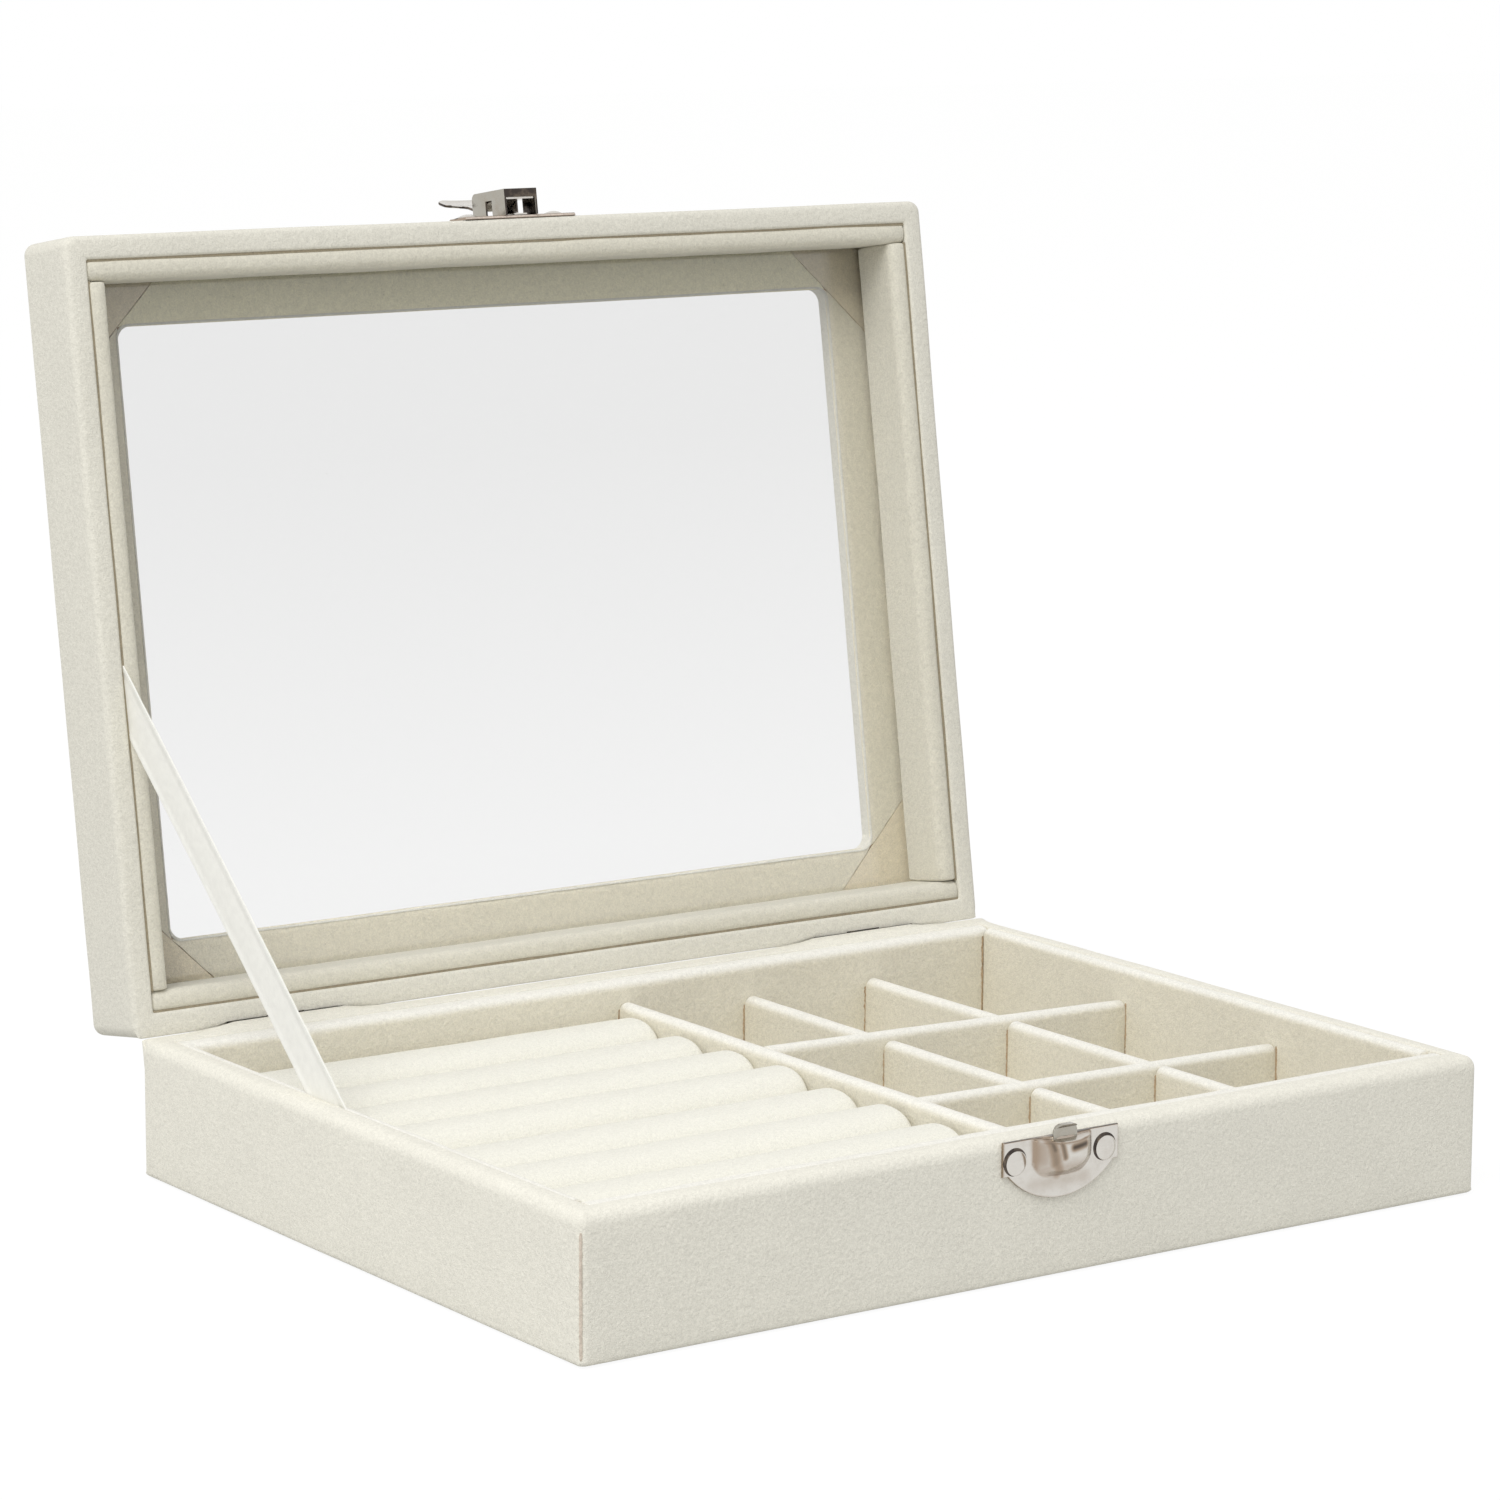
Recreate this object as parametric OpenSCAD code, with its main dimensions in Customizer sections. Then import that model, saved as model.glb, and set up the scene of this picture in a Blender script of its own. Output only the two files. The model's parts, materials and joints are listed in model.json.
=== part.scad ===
// Ring display box: a velvet-covered board box with a glazed lid that is hinged at the back,
// a bed of ring rolls on the left and nine compartments on the right.
// X runs along the width, Y towards the hinges, Z up. The origin is the middle of the underside.
// The lid stands open, leaning back against its ribbon.

/* [Overall size] */
// Width of the box, left to right
body_w = 200; // [170:1:300]
// Depth of the box, front to back
body_d = 151; // [125:1:220]
// Height of the base, from the table to its rim
base_h = 26.7; // [24:0.1:45]
// Thickness of the closed lid, from its rim to its top
lid_h = 17.6; // [16:0.1:30]
// Angle between the closed lid and the open lid
open_angle = 98.7; // [92:0.1:105]
// How far the lid sits off centre, to the right
lid_shift = -1.2; // [-2:0.1:2]

/* [Board shell] */
// Thickness of the wall boards
board_t = 3.5; // [2.5:0.1:5]
// Thickness of the bottom board
bottom_t = 2.1; // [1.5:0.1:4]
// Thickness of the lid's window board
panel_t = 2.6; // [2:0.1:4]

/* [Velvet] */
// Thickness of the glued velvet
velvet_t = 0.5; // [0.3:0.1:0.8]
// Radius of the velvet's upright outer corners
corner_r = 1; // [0.5:0.1:1.5]
// How far the velvet is tucked down inside a wall
tuck_depth = 8; // [4:0.5:10]
// Width of the velvet hem that is turned under the base
hem_w = 12; // [6:1:20]
// Thickness of the sheet under the base
sheet_t = 0.4; // [0.3:0.1:1]
// How far the sheet stays in from the sides of the base
sheet_inset = 3; // [1:0.5:6]
// Thickness of the velvet card that covers the floor inside
floor_card_t = 0.5; // [0.3:0.1:1]

/* [Linings] */
// Thickness of the padded lining strips
lining_t = 4; // [3:0.1:6]
// Thickness of the thinner strips on the base's side walls
side_lining_t = 2.2; // [1.8:0.1:6]
// How far the linings stay below the rim
lining_drop = 0.5; // [0.3:0.1:1]
// Gap where two glued pieces meet
glue_gap = 0.1; // [0.05:0.05:0.2]

/* [Compartments] */
// Middle of the main divider, to the right of the box's middle
main_x = 4; // [-20:0.5:20]
// Thickness of a divider
divider_t = 3.5; // [2.5:0.1:5]
// How far the two cross dividers stand forward of an equal spacing
cross_shift = 1.6; // [-5:0.1:5]
// Height of the main divider above the floor card
main_divider_h = 18.7; // [12:0.1:19.5]
// Height of the two dividers that run front to back between the compartments
depth_divider_h = 16.1; // [10:0.1:19.5]
// Height of the two dividers that run left to right
cross_divider_h = 17.3; // [10:0.1:19.5]
// Clearance on each side of a half-lap slot
lap_clearance = 0.1; // [0.05:0.05:0.3]

/* [Ring rolls] */
// Gap between two neighbouring rolls
roll_gap = 0.15; // [0.1:0.05:0.5]
// Gap between a roll's right end and the main divider
roll_end_gap = 0.3; // [0.2:0.1:3]
// Thickness of a roll's velvet sleeve
sleeve_t = 1; // [0.6:0.1:2]
// Rounding of a roll's free end
roll_edge_r = 1.6; // [0.5:0.1:3]

/* [Window] */
// Width of the frame around the window, over the velvet
frame_w = 16.6; // [14:0.1:24]
// Radius of the window's corners
window_r = 3; // [2:0.5:6]
// Thickness of the glass
glass_t = 2; // [1.5:0.1:3]
// How far the velvet flaps reach across the back of the frame
flap_w = 11; // [6:0.5:12]

/* [Hinges] */
// Length of a hinge
hinge_l = 25; // [18:1:30]
// Distance from a side of the box to the middle of the nearer hinge
hinge_inset = 31.3; // [24:0.1:45]
// Radius of a hinge pin
pin_r = 0.45; // [0.4:0.05:0.8]
// Radius of a hinge knuckle
knuckle_r = 0.9; // [0.8:0.05:1.6]
// Thickness of a hinge leaf
leaf_t = 0.6; // [0.4:0.1:0.8]
// Depth of a hinge leaf down or up the back board
leaf_h = 8; // [6:0.5:10]
// Play between a pin and its knuckle
pin_play = 0.05; // [0.02:0.01:0.1]

/* [Latch] */
// Middle of the latch, to the right of the base's middle
latch_x = 0.3; // [-5:0.1:5]
// Width of the two half-moon plates
plate_w = 25.7; // [22:0.1:30]
// Height of a plate's straight sides
plate_side_h = 6.2; // [5.5:0.1:8]
// Height of a plate at its middle
plate_h = 11.4; // [10:0.1:14]
// Thickness of the pressed sheet metal
metal_t = 0.6; // [0.5:0.1:0.8]
// Distance between a plate's two rivets
rivet_pitch = 20; // [18:0.5:22]
// Radius of a rivet's shank
rivet_r = 1; // [0.8:0.1:1.2]
// Radius of a rivet's domed head
rivet_head_r = 2.5; // [2:0.1:2.7]
// Inside width of the latch housing
housing_inner_w = 6.7; // [6:0.1:8]
// How far the housing stands out from the lid
housing_h = 5.8; // [5.5:0.1:7]
// Length of the housing
housing_l = 12.2; // [11:0.1:13]

/* [Ribbon] */
// Width of the ribbon
ribbon_w = 9; // [6:0.5:12]
// Thickness of the ribbon
ribbon_t = 0.4; // [0.2:0.1:0.5]
// Distance from the hinge line to the ribbon along the base's rim
ribbon_base_reach = 61.7; // [40:0.1:80]
// Distance from the hinge line to the ribbon along the lid's rim
ribbon_lid_reach = 63.8; // [40:0.1:80]
// Length of ribbon glued into each seam
ribbon_tail = 5; // [3:0.5:7]

/* [Hidden] */
$fn = 48;

// Colours
velvet_c = "#dbd8cb";
roll_c = "#f4f1e4";
board_c = "#b08d62";
ribbon_c = "#ecebde";
steel_c = "#b9b4ab";
glass_c = [0.85, 0.9, 0.9, 0.35];
foam_c = "#e6e2d0";

// Walls, measured in from the outside of the velvet
wall_outer = velvet_t + board_t;
wall_mid = velvet_t + board_t / 2;
wall_t = wall_outer + velvet_t;
inner_w = body_w - 2 * (wall_t + side_lining_t);
inner_d = body_d - 2 * (wall_t + lining_t);
half_w = body_w / 2;
half_d = body_d / 2;
card_w = body_w - 2 * (wall_outer + glue_gap);
card_d = body_d - 2 * (wall_outer + glue_gap);

// Heights in the base
board_z = sheet_t + velvet_t;
floor_z = board_z + bottom_t + floor_card_t;
board_top = base_h - velvet_t;
lining_top = base_h - lining_drop;

// Heights in the closed lid, from its rim at base_h
lid_top = base_h + lid_h;
window_board_z = lid_top - velvet_t - panel_t;
flap_z = window_board_z - velvet_t;
glass_z = flap_z - glass_t;
lid_board_z = base_h + velvet_t;
lid_lining_z = base_h + lining_drop;

// Linings
base_lining_h = lining_top - floor_z;
lid_lining_h = glass_z - lid_lining_z;
side_lining_l = inner_d - 2 * glue_gap;
base_lining_x = (inner_w + side_lining_t) / 2;
lid_lining_x = (body_w - lining_t) / 2 - wall_t;
lining_y = (inner_d + lining_t) / 2;

// Dividers and rolls
left_x = -inner_w / 2;
right_x = inner_w / 2;
bay_x = main_x + divider_t / 2;
cell_w = (right_x - bay_x - 2 * divider_t) / 3;
cell_d = (inner_d - 2 * divider_t) / 3;
cross_y = [for (side = [-1, 1]) side * (cell_d + divider_t) / 2 - cross_shift];
depth_x = [bay_x + cell_w + divider_t / 2, bay_x + 2 * cell_w + 1.5 * divider_t];
lap_z = floor_z + min(depth_divider_h, cross_divider_h) / 2;
roll_count = 8;
roll_pitch = inner_d / roll_count;
roll_r = (roll_pitch - roll_gap) / 2;
roll_l = main_x - divider_t / 2 - roll_end_gap - left_x - glue_gap;

// Window
window_w = body_w - 2 * frame_w;
window_d = body_d - 2 * frame_w;

// Hinges: the pins lie on the rim line at the back of the box
hinge_y = half_d;
hinge_z = base_h;
hinge_x = half_w - hinge_inset;
knuckle_gap = 0.15;
knuckle_l = (hinge_l - 2 * knuckle_gap) / 3;
barrel_play = 0.35;
barrel_room = knuckle_r + barrel_play;
hinge_slot_l = hinge_l + 2 * glue_gap;
nail_r = 0.5;
nail_play = 0.05;
nail_l = 2.4;
nail_x = hinge_l / 3;
nail_drop = leaf_h - 2.2;

// Latch: out is measured from the front face, along is measured from the rim line
rivet_along = 4.6;
rivet_play = 0.05;
rivet_dome_h = 1;
plate_inset = 0.6;
rivet_shank_l = velvet_t + board_t;
keeper_hump_w = 8;
keeper_hump_out = 3.6;
keeper_hump_arc = 4.9;
keeper_hump_h = 7.9;
tongue_w = 5.2;
tongue_top = 1.5;
tongue_root = plate_inset + 1;
tongue_out = 1.2;
tongue_corner_r = 1.6;
bead_out = 2.6;
bead_t = 0.5;
hook_along = 0.5;
hook_t = 0.4;
hook_out = 2;
hook_notch_w = 2.4;
housing_along = 0.1;
housing_t = 0.5;
housing_lip_out = 4.1;
slot_from = 5;
slot_to = 7.4;
slot_in = 0.9;
slot_out = 3.9;
housing_corner_r = 1.2;
ear_r = 0.4;
ear_play = 0.05;
ear_root = 1;
ear_along = (slot_from + slot_to) / 2;
ear_out = slot_out - ear_r - ear_play;
lever_side_gap = 0.15;
lever_t = 0.5;
lever_w = housing_inner_w - 2 * lever_side_gap;
lever_out = 3.75;
lever_bend_along = 7.5;
lever_dip_along = 11.3;
lever_dip_out = 1.7;
lever_tip_along = 21;
lever_tip_out = 4.9;
thumb_w = 14;
thumb_corner_r = 1.5;
spring_w = 3;
spring_t = 0.3;
spring_foot_along = [0.6, 3];
spring_tip = [8.2, 2.9];

// Ribbon: where its middle line enters the two seams between wall and lining
ribbon_play = 0.1;
seam_depth = 1;
ribbon_x = -half_w + wall_t + ribbon_play + ribbon_t / 2;
ribbon_low = [ribbon_x, hinge_y - ribbon_base_reach, hinge_z - seam_depth];
ribbon_high = [ribbon_x + lid_shift,
    hinge_y - ribbon_lid_reach * cos(open_angle) + seam_depth * sin(open_angle),
    hinge_z + ribbon_lid_reach * sin(open_angle) + seam_depth * cos(open_angle)];

// ---- helpers ----

// Puts a piece, drawn on the closed lid, where the open lid holds it.
module on_lid() {
    translate([lid_shift, hinge_y, hinge_z]) rotate([-open_angle, 0, 0])
        translate([0, -hinge_y, -hinge_z]) children();
}

// A block centred on X and Y, with its underside at z.
module slab(size, z) {
    translate([-size[0] / 2, -size[1] / 2, z]) cube(size);
}

// A block with rounded upright corners.
module rounded_slab(w, d, h, r, z) {
    translate([0, 0, z]) linear_extrude(h) rounded_rect(w, d, r);
}

module rounded_rect(w, d, r) {
    hx = w / 2 - r;
    hy = d / 2 - r;
    square([w, 2 * hy], center = true);
    square([2 * hx, d], center = true);
    for (x = [-hx, hx], y = [-hy, hy]) translate([x, y]) circle(r);
}

// A strip that stands along X, with a round top edge.
module round_top_strip(l, t, h) {
    rotate([90, 0, 90]) translate([0, 0, -l / 2]) linear_extrude(l) round_top_profile(t, h);
}

module round_top_profile(t, h) {
    translate([-t / 2, 0]) square([t, h - t / 2]);
    translate([0, h - t / 2]) circle(t / 2);
}

// Puts a piece, drawn with X across, Y outwards and Z away from the rim, on the base's front.
module on_base_front() {
    translate([latch_x, -half_d, base_h]) mirror([0, 0, 1]) mirror([0, 1, 0]) children();
}

// The same for the front of the closed lid, above the keeper.
module on_closed_lid_front() {
    translate([latch_x - lid_shift, -half_d, base_h]) mirror([0, 1, 0]) children();
}

module on_lid_front() {
    on_lid() on_closed_lid_front() children();
}

// Copies a piece to both hinges.
module at_hinges() {
    for (side = [-1, 1]) translate([side * hinge_x, 0, 0]) children();
}

// ---- base shell ----

module base_bottom_board() {
    color(board_c) slab([card_w, card_d, bottom_t], board_z);
}

// A wall board across the full width, at the front or the back.
module long_board(z0, z1) {
    translate([-half_w + velvet_t, -board_t / 2, z0]) cube([body_w - 2 * velvet_t, board_t, z1 - z0]);
}

// A wall board between the front and back boards.
module short_board(z0, z1) {
    translate([-board_t / 2, -card_d / 2, z0]) cube([board_t, card_d, z1 - z0]);
}

module base_front_board() {
    color(board_c) difference() {
        translate([0, -half_d + wall_mid, 0]) long_board(board_z, board_top);
        keeper_rivet_holes();
    }
}

module base_back_board() {
    color(board_c) difference() {
        translate([0, half_d - wall_mid, 0]) long_board(board_z, board_top);
        leaf_recess();
    }
}

module base_left_board() {
    color(board_c) translate([-half_w + wall_mid, 0, 0]) short_board(board_z, board_top);
}

module base_right_board() {
    color(board_c) translate([half_w - wall_mid, 0, 0]) short_board(board_z, board_top);
}

// The space that the four wall boards fill, for the velvet to wrap.
module board_ring(z0, z1) {
    difference() {
        slab([body_w - 2 * velvet_t, body_d - 2 * velvet_t, z1 - z0], z0);
        translate([0, 0, z0 - 1]) board_hole(z1 - z0 + 2);
    }
}

// The space between the four wall boards, up from z = 0.
module board_hole(h) {
    slab([body_w - 2 * wall_outer, body_d - 2 * wall_outer, h], 0);
}

module base_velvet_cover() {
    color(velvet_c) difference() {
        rounded_slab(body_w, body_d, base_h - sheet_t, corner_r, sheet_t);
        board_ring(board_z, board_top);
        slab([body_w - 2 * wall_t, body_d - 2 * wall_t, base_h], board_z);
        translate([0, 0, board_z]) board_hole(board_top - tuck_depth - board_z);
        slab([body_w - 2 * hem_w, body_d - 2 * hem_w, base_h], 0);
        keeper_rivet_holes();
        barrel_slits();
    }
}

module base_underside_sheet() {
    color(velvet_c) slab([body_w - 2 * sheet_inset, body_d - 2 * sheet_inset, sheet_t], 0);
}

module base_floor_card() {
    color(velvet_c) slab([card_w, card_d, floor_card_t], floor_z - floor_card_t);
}

// ---- base linings ----

// A lining along the front or the back wall, standing on z = 0.
module long_lining(h) {
    round_top_strip(body_w - 2 * wall_t, lining_t, h);
}

// A lining along a side wall, standing on z = 0.
module short_lining(t, h) {
    rotate([0, 0, 90]) round_top_strip(side_lining_l, t, h);
}

module base_front_lining() {
    color(velvet_c) translate([0, -lining_y, floor_z]) long_lining(base_lining_h);
}

module base_back_lining() {
    color(velvet_c) translate([0, lining_y, floor_z]) long_lining(base_lining_h);
}

module base_left_lining() {
    color(velvet_c) difference() {
        translate([-base_lining_x, 0, floor_z]) short_lining(side_lining_t, base_lining_h);
        ribbon_strip(ribbon_play);
    }
}

module base_right_lining() {
    color(velvet_c) translate([base_lining_x, 0, floor_z]) short_lining(side_lining_t, base_lining_h);
}

// ---- dividers ----

// A divider that runs front to back, with its middle at x.
module depth_strip(x, h) {
    translate([x, 0, floor_z]) rotate([0, 0, 90]) round_top_strip(inner_d - 2 * glue_gap, divider_t, h);
}

module main_divider() {
    color(velvet_c) depth_strip(main_x, main_divider_h);
}

// A slot through a crossing of two dividers, from z0 to z1.
module lap_slot(x, y, z0, z1) {
    side = divider_t + 2 * lap_clearance;
    translate([x - side / 2, y - side / 2, z0]) cube([side, side, z1 - z0]);
}

// A divider that runs left to right and is slotted from below.
module cross_divider(y) {
    l = right_x - bay_x - 2 * glue_gap;
    difference() {
        translate([(right_x + bay_x) / 2, y, floor_z]) round_top_strip(l, divider_t, cross_divider_h);
        for (x = depth_x) lap_slot(x, y, floor_z - 1, lap_z);
    }
}

// A divider that runs front to back and is slotted from above.
module depth_divider(x) {
    difference() {
        depth_strip(x, depth_divider_h);
        for (y = cross_y) lap_slot(x, y, lap_z, base_h);
    }
}

module front_cross_divider() {
    color(velvet_c) cross_divider(cross_y[0]);
}

module back_cross_divider() {
    color(velvet_c) cross_divider(cross_y[1]);
}

module left_depth_divider() {
    color(velvet_c) depth_divider(depth_x[0]);
}

module right_depth_divider() {
    color(velvet_c) depth_divider(depth_x[1]);
}

// ---- ring rolls ----

// The middle of a roll's left end; roll 1 lies at the back.
function roll_end(i) = [left_x + glue_gap, inner_d / 2 - roll_pitch * (i - 0.5), floor_z + roll_r];

// A roll's velvet sleeve, open at the left lining and closed with a rounded end at the right.
module ring_roll(i) {
    color(roll_c) translate(roll_end(i)) rotate([0, 90, 0]) difference() {
        rotate_extrude() {
            square([roll_r, roll_l - roll_edge_r]);
            square([roll_r - roll_edge_r, roll_l]);
            translate([roll_r - roll_edge_r, roll_l - roll_edge_r]) circle(roll_edge_r);
        }
        translate([0, 0, -1]) cylinder(r = roll_r - sleeve_t, h = roll_l + 1 - sleeve_t);
    }
}

module roll_foam_cores() {
    color(foam_c) for (i = [1 : roll_count]) translate(roll_end(i)) rotate([0, 90, 0])
        cylinder(r = roll_r - sleeve_t - glue_gap, h = roll_l - sleeve_t - glue_gap);
}

// ---- hinges ----

// The slits for the hinge barrels through the velvet at the base's rim.
module barrel_slits() {
    at_hinges() translate([-hinge_slot_l / 2, hinge_y - barrel_room, hinge_z - barrel_room])
        cube([hinge_slot_l, barrel_room + 1, barrel_room + 1]);
}

// A recess for a hinge's leaf and barrel in the back of a board, drawn for the base.
module leaf_recess() {
    at_hinges() {
        translate([-hinge_slot_l / 2, hinge_y - velvet_t - leaf_t, hinge_z - leaf_h - glue_gap])
            cube([hinge_slot_l, leaf_t + 1, leaf_h + 1]);
        translate([-hinge_slot_l / 2, hinge_y, hinge_z]) rotate([0, 90, 0])
            cylinder(r = barrel_room, h = hinge_slot_l);
        for (x = [-nail_x, nail_x]) translate([x, hinge_y - velvet_t, hinge_z - nail_drop])
            rotate([90, 0, 0]) cylinder(r = nail_r + nail_play, h = nail_l + 1);
    }
}

// Turns a hinge piece that is drawn for the base over, onto the closed lid above it.
module flip_to_lid() {
    translate([-lid_shift, 0, 2 * hinge_z]) mirror([0, 0, 1]) children();
}

// One knuckle of a hinge, from x0, around the pin.
module knuckle(x0) {
    translate([x0, hinge_y, hinge_z]) rotate([0, 90, 0]) cylinder(r = knuckle_r, h = knuckle_l);
}

module pin_bore() {
    translate([-hinge_l / 2 - 1, hinge_y, hinge_z]) rotate([0, 90, 0])
        cylinder(r = pin_r + pin_play, h = hinge_l + 2);
}

// A leaf with knuckles at each place in knuckles (0 to 2), without the others.
module hinge_leaf(knuckles) {
    pitch = knuckle_l + knuckle_gap;
    difference() {
        union() {
            translate([-hinge_l / 2, hinge_y - velvet_t - leaf_t, hinge_z - leaf_h])
                cube([hinge_l, leaf_t, leaf_h - barrel_room]);
            for (k = knuckles) {
                knuckle(-hinge_l / 2 + k * pitch);
                translate([-hinge_l / 2 + k * pitch, hinge_y - velvet_t - leaf_t, hinge_z - leaf_h])
                    cube([knuckle_l, leaf_t, leaf_h]);
            }
        }
        pin_bore();
        for (x = [-nail_x, nail_x]) translate([x, hinge_y, hinge_z - nail_drop])
            rotate([90, 0, 0]) cylinder(r = nail_r + nail_play, h = 2 * leaf_t + velvet_t);
    }
}

module left_hinge_base_leaf() {
    color(steel_c) translate([-hinge_x, 0, 0]) hinge_leaf([0, 2]);
}

module right_hinge_base_leaf() {
    color(steel_c) translate([hinge_x, 0, 0]) hinge_leaf([0, 2]);
}

module hinge_pins() {
    color(steel_c) at_hinges() translate([-hinge_l / 2, hinge_y, hinge_z]) rotate([0, 90, 0])
        cylinder(r = pin_r, h = hinge_l);
}

// The nails of both hinges' leaves, drawn for the base.
module leaf_nails() {
    at_hinges() for (x = [-nail_x, nail_x])
        translate([x, hinge_y - velvet_t, hinge_z - nail_drop]) rotate([90, 0, 0])
            cylinder(r = nail_r, h = nail_l);
}

module base_leaf_nails() {
    color(steel_c) leaf_nails();
}

// ---- latch, keeper on the base ----

// The half-moon outline of a plate: X across, Y away from the rim.
module half_moon() {
    sagitta = plate_h - plate_side_h;
    chord = plate_w / 2 - 1.2;
    arc_r = (chord * chord + sagitta * sagitta) / (2 * sagitta);
    translate([-plate_w / 2, plate_inset]) square([plate_w, plate_side_h]);
    intersection() {
        translate([0, plate_inset + plate_h - arc_r]) circle(arc_r, $fn = 96);
        translate([-chord, plate_inset + plate_side_h]) square([2 * chord, sagitta]);
    }
}

// Stands an outline, X across and Y away from the rim, on the front face, from out0 to out1.
module press(out0, out1) {
    translate([0, out1, 0]) rotate([90, 0, 0]) linear_extrude(out1 - out0) children();
}

// Rivet shank holes through a plate and what lies behind it.
module rivet_holes() {
    for (x = [-rivet_pitch / 2, rivet_pitch / 2]) translate([x, -rivet_shank_l - 1, rivet_along])
        rotate([-90, 0, 0]) cylinder(r = rivet_r + rivet_play, h = rivet_shank_l + metal_t + 2);
}

module keeper_rivet_holes() {
    on_base_front() rivet_holes();
}

// A keeper's pressed hump, smaller by skin all round: X across, Y outwards, Z away from the rim.
module hump(skin) {
    w = keeper_hump_w - 2 * skin;
    top = plate_inset + skin;
    arc_z = top + keeper_hump_h - w / 2 - 2 * skin;
    intersection() {
        press(-1, keeper_hump_out + 1) {
            translate([-w / 2, top]) square([w, arc_z - top]);
            translate([0, arc_z]) circle(w / 2);
        }
        translate([-w / 2, 0, 0]) rotate([90, 0, 90]) linear_extrude(w) union() {
            translate([-1, top]) square([1 + keeper_hump_out - skin, keeper_hump_h - keeper_hump_arc]);
            translate([keeper_hump_out - keeper_hump_arc, plate_inset + keeper_hump_h - keeper_hump_arc])
                circle(keeper_hump_arc - skin);
        }
    }
}

// The outline of the keeper's tongue, which reaches past the rim.
module tongue_outline(top) {
    half = tongue_w / 2 - tongue_corner_r;
    for (x = [-half, half]) translate([x, -top + tongue_corner_r]) circle(tongue_corner_r);
    translate([-half, -top]) square([2 * half, tongue_corner_r]);
    translate([-tongue_w / 2, tongue_corner_r - top])
        square([tongue_w, top - tongue_corner_r + tongue_root]);
}

// The space in front of out, and of length h past along.
module in_front(out, along, h = plate_h + 1) {
    translate([-plate_w / 2, out, along]) cube([plate_w, keeper_hump_out + 2, h]);
}

module keeper_plate() {
    color(steel_c) on_base_front() difference() {
        union() {
            press(0, metal_t) half_moon();
            intersection() {
                hump(0);
                in_front(0, 0);
            }
            press(tongue_out, tongue_out + metal_t) tongue_outline(tongue_top);
            intersection() {
                press(tongue_out, bead_out) tongue_outline(tongue_top);
                in_front(0, -tongue_top, bead_t);
            }
        }
        intersection() {
            hump(metal_t);
            in_front(-1, plate_inset + metal_t);
        }
        rivet_holes();
    }
}

// Rivets: a shank in the wall and a low dome on the plate.
module rivets() {
    dome_r = (rivet_head_r * rivet_head_r + rivet_dome_h * rivet_dome_h) / (2 * rivet_dome_h);
    for (x = [-rivet_pitch / 2, rivet_pitch / 2]) translate([x, 0, rivet_along]) rotate([-90, 0, 0]) {
        translate([0, 0, -rivet_shank_l]) cylinder(r = rivet_r, h = rivet_shank_l + metal_t);
        intersection() {
            translate([0, 0, metal_t + rivet_dome_h - dome_r]) sphere(dome_r);
            translate([0, 0, metal_t]) cylinder(r = rivet_head_r, h = rivet_dome_h + 1);
        }
    }
}

module keeper_rivets() {
    color(steel_c) on_base_front() rivets();
}

// ---- ribbon ----

// The ribbon's straight run from seam to seam with its two glued tails, and play all round.
module ribbon_strip(play) {
    run = ribbon_high - ribbon_low;
    level = norm([run[1], run[2]]);
    rise = atan2(run[2], run[1]);
    lean = atan2(run[0], level);
    tail = ribbon_tail + play;
    translate(ribbon_low) rotate([rise, 0, 0]) rotate([0, 0, -lean])
        translate([-ribbon_t / 2 - play, -tail, -ribbon_w / 2 - play])
            cube([ribbon_t + 2 * play, norm(run) + 2 * tail, ribbon_w + 2 * play]);
}

module stay_ribbon() {
    color(ribbon_c) ribbon_strip(0);
}

// ---- lid shell ----

module lid_front_board() {
    color(board_c) difference() {
        on_lid() translate([0, -half_d + wall_mid, 0]) long_board(lid_board_z, window_board_z);
        on_lid_front() rivet_holes();
    }
}

module lid_back_board() {
    color(board_c) on_lid() difference() {
        translate([0, half_d - wall_mid, 0]) long_board(lid_board_z, window_board_z);
        flip_to_lid() leaf_recess();
    }
}

module lid_left_board() {
    color(board_c) on_lid() translate([-half_w + wall_mid, 0, 0]) short_board(lid_board_z, window_board_z);
}

module lid_right_board() {
    color(board_c) on_lid() translate([half_w - wall_mid, 0, 0]) short_board(lid_board_z, window_board_z);
}

// The window's opening in the board, before the velvet narrows it by extra on each side.
module window_cut(extra, z0, h) {
    rounded_slab(window_w + 2 * extra, window_d + 2 * extra, h, window_r + extra, z0);
}

module lid_window_board() {
    color(board_c) on_lid() difference() {
        slab([body_w - 2 * velvet_t, body_d - 2 * velvet_t, panel_t], window_board_z);
        window_cut(velvet_t, window_board_z - 1, panel_t + 2);
    }
}

// The corner of the frame beyond a 45 degree line, gap away from the line through the corner.
module corner_triangle(reach, gap) {
    polygon([[gap - reach, reach], [reach, gap - reach], [reach, reach]]);
}

// The four velvet flaps behind the window's frame, cut at 45 degrees at the corners.
module window_flaps() {
    difference() {
        slab([window_w + 2 * flap_w, window_d + 2 * flap_w, velvet_t], flap_z);
        for (sx = [-1, 1], sy = [-1, 1]) translate([sx * window_w / 2, sy * window_d / 2, flap_z - 1])
            mirror([sx < 0 ? 1 : 0, 0, 0]) mirror([0, sy < 0 ? 1 : 0, 0])
                linear_extrude(velvet_t + 2) corner_triangle(flap_w + 1, 0);
    }
}

// The space inside the closed lid's velvet, which leaves the flaps standing.
module lid_hollow() {
    tuck_end = lid_board_z + tuck_depth;
    difference() {
        union() {
            slab([body_w - 2 * wall_t, body_d - 2 * wall_t, window_board_z - base_h + 1], base_h - 1);
            translate([0, 0, tuck_end]) board_hole(window_board_z - tuck_end);
        }
        window_flaps();
    }
}

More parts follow.
